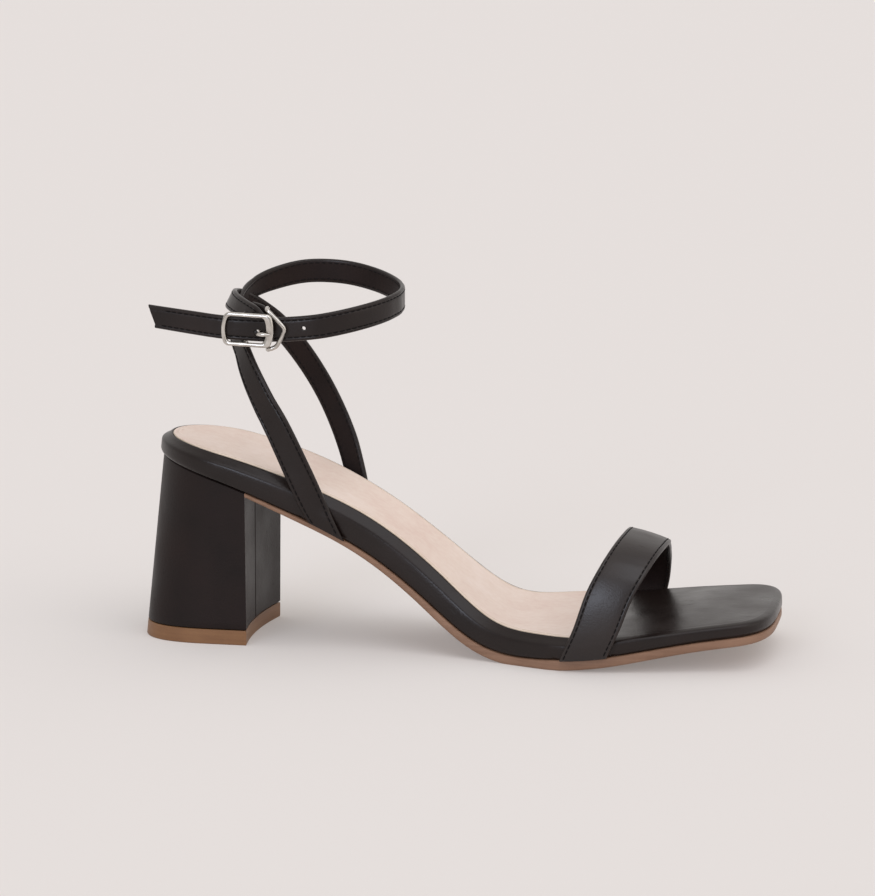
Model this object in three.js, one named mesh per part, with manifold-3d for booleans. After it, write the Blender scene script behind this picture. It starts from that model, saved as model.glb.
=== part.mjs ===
// Block-heeled ankle-strap sandal for the right foot, in millimetres.
// Lengths along the shoe are counted from the back of the footbed, heights from the floor;
// +X runs to the toe, +Y to the inner side of the foot. The finished group is moved so that
// its origin is the middle of the top lift's ground face.
import * as THREE from 'three';
import { mergeVertices } from 'three/addons/utils/BufferGeometryUtils.js';
import Module from 'manifold-3d';

const wasm = await Module();
wasm.setup();

// Footbed and sole
const shoeLength = 221;        // footbed, heel to toe, along the floor
const ballWidth = 84;          // footbed across the ball
const heelWidth = 57;          // footbed across the heel seat
const heelHeight = 66.5;       // underside of the footbed above the floor, at the very back
const toeSpring = 6.9;         // rise of the toe above the ball
const wallDepth = 9.9;         // deepest part of the footbed's wall, in the waist
const soleThickness = 3.6;     // outsole under the ball
const ballFlat = 0.4;          // how much the outsole is ground flat where it meets the floor
const soleInset = 0.5;         // outsole edge in from the footbed's wall
const heelRound = 27;          // length of the rounded heel end of the outline
const toeRound = 17;           // length of the rounded toe end of the outline
const toeSquareness = 3.3;     // 2 is an ellipse, more is squarer
const bandWidth = 3.4;         // leather band between the footbed's edge and the insole
const bandRise = 1;            // rise of that band from the edge inwards
const sockRecess = 0.6;        // depth of the seat that the insole lies in
const sockThickness = 0.7;     // insole leather
const sockLength = 168;        // insole, from the back to under the toe strap

// Heel
const liftThickness = 5.3;     // top lift that meets the floor
const liftLength = 41.6;
const liftWidth = 49.4;
const liftRound = 30;          // length of the lift's rounded back
const liftSquareness = 2.8;
const heelFlare = 6;           // lift's back behind the footbed's back
const heelInset = 1.5;         // heel's top edge in from the footbed's wall
const breastTop = 38.6;        // edge line above the heel breast, from the footbed's back
const breastHollow = 2;        // depth of the breast's hollow

// Straps
const strapThickness = 1.8;
const strapWidth = 8.6;
const toeStrapWidth = 15.8;
const toeStrapRise = 33.9;     // toe strap's middle line above the outsole at its crest
const toeStrapCrown = 0.4;     // bulge of the toe strap across its width
const ankleCentre = 56;        // middle of the ankle loop, from the footbed's back
const ankleLength = 63;        // loop, front to back
const ankleWidth = 60;         // loop, side to side
const ankleRise = 70.6;        // strap foot to the buckle
const outerFoot = 65.8;        // outer strap's foot on the sole, from the footbed's back
const innerFoot = 66.5;        // inner strap's foot
const outerFootLean = 0.53;    // backward lean of the outer strap as it leaves the sole
const innerFootLean = 0.16;
const tailSlant = 0.52;        // slant of the cut at the long strap's free end
const foldLap = 7;             // the short strap's end, turned back behind itself

// Buckle
const frameLength = 18.6;
const frameHeight = 11.7;
const frameThickness = 1.6;
const frameBar = 1.5;          // wire of the frame's long sides and rear bar
const frameEndBar = 2.7;       // broad bar that the prong rests on
const frameCorner = 2.2;
const frameSwing = 0.32;       // turn of the bowed end bars at the corners, in radians
const frameSoft = 0.3;         // eased edges
const frameTilt = 2.5;         // degrees, front end down
const pinDiameter = 1.2;       // dropped centre bar
const pinBack = 2;             // pin behind the frame's middle
const pinDrop = 6.4;           // pin inwards of the frame
const pinBend = 1;             // rounding of the pin's two corners
const prongDiameter = 1.5;
const prongBelow = 1;          // prong below the frame's middle
const ringWire = 1.5;
const ringBend = 1.5;          // rounding of the ring's corners
const ringStand = 4;           // ring's outer half in front of its bar

const gap = 0.3;               // left between pieces that touch

// The footbed's edge line, from the back to the toe: how much of the climb to the heel seat
// and of the toe's spring each row has.
const edgeRows = [
  { at: 0, climb: 1, spring: 0 },
  { at: 0.08, climb: 0.948, spring: 0 },
  { at: 0.18, climb: 0.856, spring: 0 },
  { at: 0.28, climb: 0.726, spring: 0 },
  { at: 0.38, climb: 0.535, spring: 0 },
  { at: 0.48, climb: 0.258, spring: 0 },
  { at: 0.56, climb: 0.046, spring: 0 },
  { at: 0.64, climb: 0, spring: 0 },
  { at: 0.74, climb: 0, spring: 0.02 },
  { at: 0.86, climb: 0, spring: 0.48 },
  { at: 1, climb: 0, spring: 1 },
];

// Half widths of the footbed as shares of the width that passes from the heel's to the ball's.
const widthRows = [
  { at: 0, outer: 0.475, inner: 0.475 },
  { at: 0.105, outer: 0.489, inner: 0.482 },
  { at: 0.235, outer: 0.508, inner: 0.462 },
  { at: 0.39, outer: 0.425, inner: 0.352 },
  { at: 0.54, outer: 0.408, inner: 0.366 },
  { at: 0.675, outer: 0.497, inner: 0.495 },
  { at: 0.795, outer: 0.484, inner: 0.508 },
  { at: 0.92, outer: 0.414, inner: 0.45 },
  { at: 1, outer: 0.37, inner: 0.42 },
];

// Wall depth and sole thickness as shares of their named sizes, and the crown of the top
// face in millimetres, below zero where it is dished.
const depthRows = [
  { at: 0, wall: 0.62, sole: 0.27, crown: -0.8 },
  { at: 0.135, wall: 0.82, sole: 0.33, crown: -1 },
  { at: 0.285, wall: 1, sole: 0.52, crown: -0.8 },
  { at: 0.49, wall: 0.89, sole: 0.75, crown: -0.3 },
  { at: 0.645, wall: 0.72, sole: 1, crown: -0.5 },
  { at: 0.795, wall: 0.46, sole: 0.92, crown: 0.9 },
  { at: 1, wall: 0.38, sole: 0.84, crown: 1.5 },
];

// Middle line of the toe strap from its outer foot to its inner foot: place along the shoe,
// half width, share of the strap's rise, and how far its front edge dips below its rear edge.
const toeStrapRows = [
  { along: 0.71, across: -1, rise: -0.148, dip: 0 },
  { along: 0.717, across: -1, rise: 0, dip: 0 },
  { along: 0.738, across: -1.02, rise: 0.297, dip: 0.02 },
  { along: 0.757, across: -0.985, rise: 0.628, dip: 0.16 },
  { along: 0.775, across: -0.9, rise: 0.843, dip: 0.2 },
  { along: 0.789, across: -0.71, rise: 0.977, dip: 0.22 },
  { along: 0.796, across: -0.38, rise: 1.017, dip: 0.26 },
  { along: 0.794, across: -0.05, rise: 0.982, dip: 0.28 },
  { along: 0.785, across: 0.33, rise: 0.884, dip: 0.28 },
  { along: 0.778, across: 0.66, rise: 0.738, dip: 0.24 },
  { along: 0.772, across: 0.89, rise: 0.532, dip: 0.16 },
  { along: 0.765, across: 1, rise: 0.25, dip: 0.02 },
  { along: 0.755, across: 1, rise: 0, dip: 0 },
  { along: 0.75, across: 1, rise: -0.148, dip: 0 },
];

// The long strap above the sole: up the outer side, round the back, along the inner side,
// round the front of the ankle, back through the buckle, and its free tail. Shares of half
// the loop's length and width, and of the rise to the buckle.
const longStrapRows = [
  { along: 0.04, across: -0.98, rise: 0.255, width: 1.14, lean: 0 },
  { along: -0.23, across: -0.98, rise: 0.51, width: 1.14, lean: 0 },
  { along: -0.4, across: -0.93, rise: 0.637, width: 1.13, lean: 0 },
  { along: -0.58, across: -0.82, rise: 0.779, width: 1.1, lean: 4 },
  { along: -0.71, across: -0.67, rise: 0.892, width: 1.06, lean: 8 },
  { along: -0.85, across: -0.41, rise: 0.99, width: 1, lean: 14 },
  { along: -0.91, across: 0, rise: 1.07, width: 1, lean: 20 },
  { along: -0.86, across: 0.4, rise: 1.125, width: 1, lean: 20 },
  { along: -0.68, across: 0.71, rise: 1.166, width: 1, lean: 12 },
  { along: -0.34, across: 0.94, rise: 1.2, width: 1, lean: 4 },
  { along: 0.09, across: 1, rise: 1.197, width: 1, lean: 0 },
  { along: 0.49, across: 0.87, rise: 1.168, width: 1, lean: 0 },
  { along: 0.84, across: 0.49, rise: 1.13, width: 1, lean: 0 },
  { along: 0.965, across: 0, rise: 1.108, width: 1, lean: 0 },
  { along: 0.88, across: -0.42, rise: 1.085, width: 1, lean: 0 },
  { along: 0.63, across: -0.77, rise: 1.056, width: 1, lean: 0 },
  { along: 0.26, across: -0.96, rise: 1.024, width: 1, lean: 0 },
  { along: -0.09, across: -1, rise: 1.008, width: 1, lean: 0 },
  { along: -0.32, across: -1.02, rise: 1.005, width: 1, lean: 0 },
  { along: -0.57, across: -1.06, rise: 1.009, width: 0.98, lean: 0 },
  { along: -0.83, across: -1.075, rise: 1.015, width: 0.96, lean: 0 },
  { along: -1.2, across: -1.01, rise: 1.03, width: 0.95, lean: 0 },
  { along: -1.645, across: -0.93, rise: 1.05, width: 0.92, lean: 0 },
];

// The short strap: up the inner side, round the back outside the long one, and down to the ring.
const shortStrapRows = [
  { along: 0.14, across: 0.93, rise: 0.326, width: 1, lean: 0 },
  { along: -0.06, across: 0.97, rise: 0.53, width: 0.93, lean: 0 },
  { along: -0.255, across: 0.96, rise: 0.686, width: 0.92, lean: 0 },
  { along: -0.465, across: 0.89, rise: 0.829, width: 0.93, lean: 0 },
  { along: -0.65, across: 0.765, rise: 0.938, width: 0.93, lean: 6 },
  { along: -0.82, across: 0.577, rise: 1.018, width: 0.92, lean: 14 },
  { along: -0.93, across: 0.3, rise: 1.077, width: 0.9, lean: 24 },
  { along: -0.955, across: -0.033, rise: 1.105, width: 0.88, lean: 30 },
  { along: -0.895, across: -0.35, rise: 1.112, width: 0.86, lean: 24 },
  { along: -0.765, across: -0.615, rise: 1.101, width: 0.83, lean: 14 },
  { along: -0.61, across: -0.8, rise: 1.084, width: 0.8, lean: 6 },
  { along: -0.498, across: -0.903, rise: 1.07, width: 0.77, lean: 0 },
  { along: -0.432, across: -0.957, rise: 1.049, width: 0.74, lean: 0 },
];

// Up the wall at an ankle strap's foot, in shares of the strap's width.
const footRows = [-0.93, 0, 0.81];

// Middle of the buckle frame, in the same shares as the straps.
const framePlace = { along: -0.52, across: -1.15, rise: 1.007 };

// The prong from its eye to its tip: along from the frame's middle in shares of its length,
// outwards from the eye at 0 to the resting height on the broad bar at 1.
const prongRows = [
  { along: 0.06, out: -0.06 },
  { along: 0.15, out: 0.52 },
  { along: 0.24, out: 0.93 },
  { along: 0.34, out: 1 },
  { along: 0.475, out: 1 },
];

// Corners of the ring from the upper end of its bar, in shares of the strap's width; front is 1
// on the ring's outer half.
const ringRows = [
  { along: 0.06, front: 1, rise: -0.03 },
  { along: 0.83, front: 1, rise: -0.8 },
  { along: 0.46, front: 1, rise: -1.53 },
  { along: 0.08, front: 1, rise: -1.66 },
  { along: 0.02, front: 0, rise: -1.63 },
];
const ringBarAbove = 0.57;     // ring's bar above and below the fold's middle, in the same shares
const ringBarBelow = 0.55;

const outerSide = -1;
const innerSide = 1;

// Natural cubic spline through one column of a table.
function column(rows, name) {
  const count = rows.length;
  const bend = new Array(count).fill(0);
  const carry = new Array(count).fill(0);
  for (let i = 1; i < count - 1; i += 1) {
    const before = rows[i].at - rows[i - 1].at;
    const after = rows[i + 1].at - rows[i].at;
    const share = before / (before + after);
    const pivot = share * bend[i - 1] + 2;
    const steps = (rows[i + 1][name] - rows[i][name]) / after - (rows[i][name] - rows[i - 1][name]) / before;
    bend[i] = (share - 1) / pivot;
    carry[i] = ((6 * steps) / (before + after) - share * carry[i - 1]) / pivot;
  }
  bend[count - 1] = 0;
  for (let i = count - 2; i > 0; i -= 1) bend[i] = bend[i] * bend[i + 1] + carry[i];
  bend[0] = 0;
  return (at) => {
    let i = 0;
    while (i < count - 2 && at > rows[i + 1].at) i += 1;
    const span = rows[i + 1].at - rows[i].at;
    const a = (rows[i + 1].at - at) / span;
    const b = 1 - a;
    return (
      a * rows[i][name] +
      b * rows[i + 1][name] +
      (((a ** 3 - a) * bend[i] + (b ** 3 - b) * bend[i + 1]) * span ** 2) / 6
    );
  };
}

const climbAt = column(edgeRows, 'climb');
const springAt = column(edgeRows, 'spring');
const outerAt = column(widthRows, 'outer');
const innerAt = column(widthRows, 'inner');
const wallShareAt = column(depthRows, 'wall');
const soleShareAt = column(depthRows, 'sole');
const crownAt = column(depthRows, 'crown');

const ballAt = 0.645;
const wallAt = (x) => wallDepth * wallShareAt(x / shoeLength);
const soleAt = (x) => soleThickness * soleShareAt(x / shoeLength);
const ballHeight = wallAt(ballAt * shoeLength) + gap + soleThickness - ballFlat;
const seatHeight = heelHeight + wallAt(0);

// Height of the footbed's edge line above the floor.
function edgeHeight(x) {
  const at = x / shoeLength;
  return ballHeight + (seatHeight - ballHeight) * climbAt(at) + toeSpring * springAt(at);
}

// A point under the edge line, square to the footbed; a depth below zero lies above it.
function bedPoint(x, y, depth) {
  const step = 0.5;
  const slope = (edgeHeight(x + step) - edgeHeight(x - step)) / (2 * step);
  const down = new THREE.Vector3(slope, 0, -1).normalize();
  return new THREE.Vector3(x, y, edgeHeight(x)).addScaledVector(down, depth);
}

// Height of the foot of the footbed's wall, straight above a place on the floor.
function wallFoot(x) {
  let edge = x;
  for (let i = 0; i < 8; i += 1) edge += x - bedPoint(edge, 0, wallAt(edge)).x;
  return bedPoint(edge, 0, wallAt(edge)).z;
}

// The footbed's plan outline on one side, from the back at 0 to the toe at 1.
const heelShare = 0.2;
const toeShare = 0.8;
function outline(station, side) {
  let x;
  let round = 1;
  if (station < heelShare) {
    const angle = ((station / heelShare) * Math.PI) / 2;
    x = heelRound * (1 - Math.cos(angle));
    round = Math.sin(angle);
  } else if (station > toeShare) {
    const angle = (((station - toeShare) / (1 - toeShare)) * Math.PI) / 2;
    x = shoeLength - toeRound * (1 - Math.sin(angle) ** (2 / toeSquareness));
    round = Math.max(Math.cos(angle), 0) ** (2 / toeSquareness);
  } else {
    const along = (station - heelShare) / (toeShare - heelShare);
    x = THREE.MathUtils.lerp(heelRound, shoeLength - toeRound, along);
  }
  const at = x / shoeLength;
  const width = THREE.MathUtils.lerp(heelWidth, ballWidth, THREE.MathUtils.smoothstep(at, 0.3, 0.7));
  const half = width * (side < 0 ? outerAt(at) : innerAt(at));
  return new THREE.Vector2(x, side * half * round);
}

// The outline moved inwards by an inset.
function insetOutline(station, side, inset) {
  const point = outline(station, side);
  const step = 0.004;
  const tangent = new THREE.Vector2(0, station < 0.5 ? side : -side);
  if (station > step && station < 1 - step) {
    tangent.subVectors(outline(station + step, side), outline(station - step, side));
  }
  const inward = new THREE.Vector2(tangent.y, -tangent.x).multiplyScalar(side).normalize();
  return point.addScaledVector(inward, inset);
}

// The station whose outline point lies a given length from the back.
function stationAt(x) {
  let low = 0;
  let high = 1;
  for (let i = 0; i < 40; i += 1) {
    const middle = (low + high) / 2;
    if (outline(middle, outerSide).x < x) low = middle;
    else high = middle;
  }
  return low;
}

const columns = 6;

// A grid of points between two side lines: place(station, share across, left, right).
function grid(from, to, rows, inset, place) {
  const points = [];
  for (let i = 0; i <= rows; i += 1) {
    const station = THREE.MathUtils.lerp(from, to, i / rows);
    const left = insetOutline(station, outerSide, inset);
    const right = insetOutline(station, innerSide, inset);
    const row = [];
    for (let m = 0; m <= columns; m += 1) {
      const flat = new THREE.Vector2().lerpVectors(left, right, m / columns);
      row.push(place(flat.x, flat.y, m / columns, i / rows));
    }
    points.push(row);
  }
  return points;
}

// Closed geometry from triangles whose corners are given as points.
function closedGeometry(corners) {
  const loose = new THREE.BufferGeometry().setFromPoints(corners);
  const merged = mergeVertices(loose, 1e-3);
  const index = merged.index.array;
  const kept = [];
  for (let i = 0; i < index.length; i += 3) {
    const [a, b, c] = [index[i], index[i + 1], index[i + 2]];
    if (a !== b && b !== c && c !== a) kept.push(a, b, c);
  }
  merged.setIndex(kept);
  merged.computeVertexNormals();
  return merged;
}

// A closed slab from layers of equal grids: the first is its top face, the last its bottom
// face, and only the rim of those between is used.
function slab(layers) {
  const rows = layers[0].length;
  const cols = layers[0][0].length;
  const rim = [];
  for (let m = 0; m < cols; m += 1) rim.push([0, m]);
  for (let i = 1; i < rows; i += 1) rim.push([i, cols - 1]);
  for (let m = cols - 2; m >= 0; m -= 1) rim.push([rows - 1, m]);
  for (let i = rows - 2; i > 0; i -= 1) rim.push([i, 0]);
  const corners = [];
  const quad = (a, b, c, d) => corners.push(a, b, c, a, c, d);
  const top = layers[0];
  const bottom = layers[layers.length - 1];
  for (let i = 0; i < rows - 1; i += 1) {
    for (let m = 0; m < cols - 1; m += 1) {
      quad(top[i][m], top[i + 1][m], top[i + 1][m + 1], top[i][m + 1]);
      quad(bottom[i][m], bottom[i][m + 1], bottom[i + 1][m + 1], bottom[i + 1][m]);
    }
  }
  for (let k = 0; k < layers.length - 1; k += 1) {
    for (let j = 0; j < rim.length; j += 1) {
      const [i0, m0] = rim[j];
      const [i1, m1] = rim[(j + 1) % rim.length];
      quad(layers[k][i0][m0], layers[k][i1][m1], layers[k + 1][i1][m1], layers[k + 1][i0][m0]);
    }
  }
  return closedGeometry(corners);
}

// Section of a strap: soft edges and a crowned face.
function strapSection(half, thick, crown) {
  const soft = thick * 0.5;
  return [
    [-half, -soft], [-half, soft], [-half + soft, thick], [0, thick + crown], [half - soft, thick],
    [half, soft], [half, -soft], [half - soft, -thick], [0, -thick + crown], [-half + soft, -thick],
  ];
}

// A closed ribbon through frames, each with a point, the way across, the way outwards, the way
// along, a width, and a skew where its end is cut aslant.
function ribbon(frames, thickness, crown = 0) {
  const rings = frames.map((frame) =>
    strapSection(frame.width / 2, thickness / 2, crown).map(([across, out]) =>
      frame.point
        .clone()
        .addScaledVector(frame.across, across)
        .addScaledVector(frame.out, out)
        .addScaledVector(frame.along, across * (frame.skew ?? 0)),
    ),
  );
  const corners = [];
  const size = rings[0].length;
  for (let i = 0; i < rings.length - 1; i += 1) {
    for (let j = 0; j < size; j += 1) {
      const next = (j + 1) % size;
      corners.push(rings[i][j], rings[i + 1][next], rings[i][next]);
      corners.push(rings[i][j], rings[i + 1][j], rings[i + 1][next]);
    }
  }
  const first = rings[0];
  const last = rings[rings.length - 1];
  for (let j = 1; j < size - 1; j += 1) {
    corners.push(first[0], first[j], first[j + 1]);
    corners.push(last[0], last[j + 1], last[j]);
  }
  return closedGeometry(corners);
}

// Solids for joins and cuts.
function solid(geometry) {
  const clean = geometry.clone();
  clean.deleteAttribute('normal');
  clean.deleteAttribute('uv');
  const merged = mergeVertices(clean, 1e-3);
  return new wasm.Manifold(
    new wasm.Mesh({
      numProp: 3,
      vertProperties: new Float32Array(merged.attributes.position.array),
      triVerts: new Uint32Array(merged.index.array),
    }),
  );
}

function geometryOf(body) {
  const mesh = body.getMesh();
  const geometry = new THREE.BufferGeometry();
  geometry.setAttribute('position', new THREE.BufferAttribute(new Float32Array(mesh.vertProperties), 3));
  geometry.setIndex(Array.from(mesh.triVerts));
  geometry.computeVertexNormals();
  return geometry;
}

// A round wire along an open curve.
function wire(curve, diameter, steps) {
  const sides = 8;
  const section = new THREE.Shape();
  for (let k = 0; k < sides; k += 1) {
    const angle = (2 * Math.PI * k) / sides;
    const x = (Math.cos(angle) * diameter) / 2;
    const y = (Math.sin(angle) * diameter) / 2;
    if (k === 0) section.moveTo(x, y);
    else section.lineTo(x, y);
  }
  section.closePath();
  return new THREE.ExtrudeGeometry(section, { steps, extrudePath: curve, bevelEnabled: false });
}

// Footbed: a wrapped board with a soft top band, a wall square to it and a flat underside.
const bedRowCount = 40;
const undersideInset = 1.2;
function archAt(x, across) {
  const heelFade = THREE.MathUtils.smoothstep(x, 0, heelRound);
  const toeFade = 1 - THREE.MathUtils.smoothstep(x, shoeLength - 1.5 * toeRound, shoeLength - bandWidth);
  return crownAt(x / shoeLength) * (1 - (2 * across - 1) ** 2) * heelFade * toeFade;
}
function bedLayer(inset, depth, crowned) {
  return grid(0, 1, bedRowCount, inset, (x, y, across) =>
    bedPoint(x, y, depth(x) - (crowned ? archAt(x, across) : 0)),
  );
}
const recessAt = (x) => sockRecess * (1 - THREE.MathUtils.smoothstep(x, sockLength, sockLength + 5));
const footbedGeometry = slab([
  bedLayer(bandWidth, (x) => recessAt(x) - bandRise, true),
  bedLayer(bandWidth - gap, () => -bandRise, false),
  bedLayer(bandWidth * 0.4, () => -bandRise * 0.65, false),
  bedLayer(0.15, () => 0, false),
  bedLayer(0, (x) => wallAt(x) * 0.25, false),
  bedLayer(0.2, (x) => wallAt(x) * 0.85, false),
  bedLayer(undersideInset, wallAt, false),
]);

// What the straps keep clear of: the footbed grown by the gap, and all that lies below it.
const bedClearance = solid(slab([
  bedLayer(-gap, () => -bandRise - gap, false),
  bedLayer(-gap, (x) => wallAt(x) + gap, false),
]));
const belowBed = solid(slab([
  bedLayer(-2 * strapWidth, (x) => wallAt(x) + gap, false),
  bedLayer(-2 * strapWidth, (x) => wallAt(x) + 3 * strapWidth, false),
]));

// Insole sock on the footbed's top face.
const sockFloor = bandRise - sockRecess + gap;
const sockRowCount = Math.round(stationAt(sockLength) * bedRowCount);
function sockLayer(rise) {
  return grid(0, sockRowCount / bedRowCount, sockRowCount, bandWidth + gap, (x, y, across) =>
    bedPoint(x, y, -rise - archAt(x, across)),
  );
}
const sockGeometry = slab([sockLayer(sockFloor + sockThickness), sockLayer(sockFloor)]);

// Hollow of the heel breast at a share across the heel.
const hollowAt = (across) => breastHollow * (1 - (2 * across - 1) ** 2);

// Outsole from the breast to the toe, flat on the floor under the ball. Its rear end is
// upright and follows the hollow of the breast.
const soleStart = stationAt(breastTop + gap);
const soleRowCount = 34;
function soleLayer(thickness, inset) {
  return grid(soleStart, 1, soleRowCount, inset, (x, y, across, along) => {
    const top = bedPoint(x, y, wallAt(x) + gap);
    const point = bedPoint(x, y, wallAt(x) + gap + thickness(x));
    if (along === 0) point.set(top.x - hollowAt(across), y, 2 * point.z - top.z + thickness(x) * 0.8);
    point.z = Math.max(point.z, 0);
    return point;
  });
}
const outsoleGeometry = slab([
  soleLayer(() => 0, soleInset),
  soleLayer((x) => soleAt(x) * 0.75, soleInset),
  soleLayer(soleAt, soleInset + 0.6),
]);

// Block heel: its sides run straight from the footbed's underside to the floor outline.
const heelRows = 14;
const heelTopEnd = stationAt(breastTop);
const liftFront = liftLength - heelFlare;
function liftOutline(share, side) {
  const curved = 0.75;
  let x = THREE.MathUtils.lerp(liftRound - heelFlare, liftFront, (share - curved) / (1 - curved));
  let round = 1;
  if (share < curved) {
    const angle = ((share / curved) * Math.PI) / 2;
    x = liftRound * (1 - Math.cos(angle) ** (2 / liftSquareness)) - heelFlare;
    round = Math.sin(angle) ** (2 / liftSquareness);
  }
  return new THREE.Vector2(x, (side * liftWidth * round) / 2);
}

// A layer of the heel: at a fixed height, or at the footbed's underside when none is given.
function heelLayer(height) {
  const points = [];
  for (let i = 0; i <= heelRows; i += 1) {
    const share = i / heelRows;
    const station = heelTopEnd * share;
    const sides = [outerSide, innerSide].map((side) => ({
      top: insetOutline(station, side, heelInset),
      floor: liftOutline(share, side),
    }));
    const row = [];
    for (let m = 0; m <= columns; m += 1) {
      const across = m / columns;
      const top = new THREE.Vector2().lerpVectors(sides[0].top, sides[1].top, across);
      const floor = new THREE.Vector2().lerpVectors(sides[0].floor, sides[1].floor, across);
      const seat = bedPoint(top.x, top.y, wallAt(top.x) + gap);
      const down = new THREE.Vector3(floor.x, floor.y, 0).sub(seat);
      const fall = height === null ? 0 : (seat.z - height) / seat.z;
      const point = seat.addScaledVector(down, fall);
      if (i === heelRows) point.x -= hollowAt(across);
      row.push(point);
    }
    points.push(row);
  }
  return points;
}
const heelFoot = liftThickness + gap;
const heelGeometry = slab([heelLayer(null), heelLayer(heelFoot * 3), heelLayer(heelFoot)]);
const liftGeometry = slab([heelLayer(liftThickness), heelLayer(0)]);

// Frames along a strap's middle line. It faces level outwards, as its path turns or, where it
// rises steeply, as its rows face, until it leans its upper edge inwards.
function strapFrames(path, steps, outwardSign) {
  const curve = new THREE.CatmullRomCurve3(path.map((row) => row.point), false, 'centripetal');
  const frames = [];
  for (let i = 0; i <= steps; i += 1) {
    const share = i / steps;
    const place = share * (path.length - 1);
    const row = Math.min(Math.floor(place), path.length - 2);
    const between = (name) => THREE.MathUtils.lerp(path[row][name], path[row + 1][name], place - row);
    const along = curve.getTangent(share);
    const turned = new THREE.Vector3(along.y, -along.x, 0).multiplyScalar(outwardSign).normalize();
    const flat = THREE.MathUtils.smoothstep(Math.hypot(along.x, along.y), 0.3, 0.7);
    const level = path[row].facing.clone().lerp(path[row + 1].facing, place - row).lerp(turned, flat);
    level.addScaledVector(along, -level.dot(along)).normalize();
    const upright = new THREE.Vector3().crossVectors(level, along).normalize();
    const lean = THREE.MathUtils.degToRad(between('lean')) * Math.sign(upright.z);
    const across = upright.clone().multiplyScalar(Math.cos(lean)).addScaledVector(level, -Math.sin(lean));
    const out = level.clone().multiplyScalar(Math.cos(lean)).addScaledVector(upright, Math.sin(lean));
    frames.push({ point: curve.getPoint(share), across, out, along, width: strapWidth * between('width') });
  }
  return frames;
}

// Path of an ankle strap: up its wall at the foot, then through the rows of its table.
const ankleBase = wallFoot(outerFoot);
function anklePath(rows, foot, side, lean) {
  const station = stationAt(foot);
  const wall = outline(station, side);
  const wallFacing = wall.clone().sub(insetOutline(station, side, 1));
  const path = footRows.map((share) => {
    const up = share * strapWidth;
    return {
      point: new THREE.Vector3(foot - lean * up, wall.y + (side * strapThickness) / 2, wallFoot(foot) + up),
      facing: new THREE.Vector3(wallFacing.x, wallFacing.y, 0),
      width: rows[0].width,
      lean: 0,
    };
  });
  for (const { along, across, rise, width, lean: tilt } of rows) {
    const x = ankleCentre + (along * ankleLength) / 2;
    const point = new THREE.Vector3(x, (across * ankleWidth) / 2, ankleBase + rise * ankleRise);
    path.push({ point, facing: new THREE.Vector3(along, across, 0).normalize(), width, lean: tilt });
  }
  return path;
}

const longSteps = 92;
const longFrames = strapFrames(anklePath(longStrapRows, outerFoot, outerSide, outerFootLean), longSteps, -1);
longFrames[longFrames.length - 1].skew = -tailSlant;

// The short strap's end turns round the ring's bar and lies back behind itself.
const foldRadius = ringWire / 2 + gap + strapThickness / 2;
const foldSteps = 8;
const shortSteps = 46;
const shortRun = strapFrames(anklePath(shortStrapRows, innerFoot, innerSide, innerFootLean), shortSteps, 1);
const foldStart = shortRun[shortRun.length - 1];
const ringBar = foldStart.point.clone().addScaledVector(foldStart.out, -foldRadius);
const shortFrames = [...shortRun];
for (let i = 1; i <= foldSteps; i += 1) {
  const turn = (Math.PI * i) / foldSteps;
  const out = foldStart.out.clone().multiplyScalar(Math.cos(turn)).addScaledVector(foldStart.along, Math.sin(turn));
  shortFrames.push({ ...foldStart, out, point: ringBar.clone().addScaledVector(out, foldRadius) });
}
for (let i = shortRun.length - 2, laid = 0; laid < foldLap; i -= 1) {
  const frame = shortRun[i];
  laid += frame.point.distanceTo(shortRun[i + 1].point);
  const behind = THREE.MathUtils.lerp(2 * foldRadius, strapThickness * 0.9, Math.min(laid / foldLap, 1));
  const point = frame.point.clone().addScaledVector(frame.out, -behind);
  shortFrames.push({ ...frame, point, out: frame.out.clone().negate() });
}

// Buckle: its pieces are laid out round the frame's middle, with X along the strap and -Y
// outwards, and then set in place.
const frameCentre = new THREE.Vector3(
  ankleCentre + (framePlace.along * ankleLength) / 2,
  (framePlace.across * ankleWidth) / 2,
  ankleBase + framePlace.rise * ankleRise,
);
const frameSeat = new THREE.Matrix4()
  .makeRotationY(THREE.MathUtils.degToRad(frameTilt))
  .setPosition(frameCentre);

// Rounded outline with bowed ends.
function bowedOutline(path, left, right, half, corner) {
  const tall = half - corner;
  const meet = tall + corner * Math.sin(frameSwing);
  const bow = (Math.tan(frameSwing) * meet) / 2;
  const reach = corner * Math.cos(frameSwing);
  const front = right - bow;
  const rear = left + bow;
  path.moveTo(rear + reach, -half);
  path.lineTo(front - reach, -half);
  path.absarc(front - reach, -tall, corner, -Math.PI / 2, -frameSwing, false);
  path.quadraticCurveTo(right + bow, 0, front, meet);
  path.absarc(front - reach, tall, corner, frameSwing, Math.PI / 2, false);
  path.lineTo(rear + reach, half);
  path.absarc(rear + reach, tall, corner, Math.PI / 2, Math.PI - frameSwing, false);
  path.quadraticCurveTo(left - bow, 0, rear, -meet);
  path.absarc(rear + reach, -tall, corner, Math.PI + frameSwing, 1.5 * Math.PI, false);
  return path;
}
const frameShape = bowedOutline(
  new THREE.Shape(),
  -frameLength / 2 + frameSoft,
  frameLength / 2 - frameSoft,
  frameHeight / 2 - frameSoft,
  frameCorner - frameSoft,
);
frameShape.holes.push(bowedOutline(
  new THREE.Path(),
  -frameLength / 2 + frameBar - frameSoft,
  frameLength / 2 - frameEndBar + frameSoft,
  frameHeight / 2 - frameBar + frameSoft,
  frameCorner - frameBar / 2,
));
const framePlate = new THREE.ExtrudeGeometry(frameShape, {
  depth: frameThickness - 2 * frameSoft,
  bevelThickness: frameSoft,
  bevelSize: frameSoft,
  bevelSegments: 1,
  curveSegments: 4,
});
framePlate.translate(0, 0, -frameThickness / 2 + frameSoft);
framePlate.rotateX(Math.PI / 2);

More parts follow.
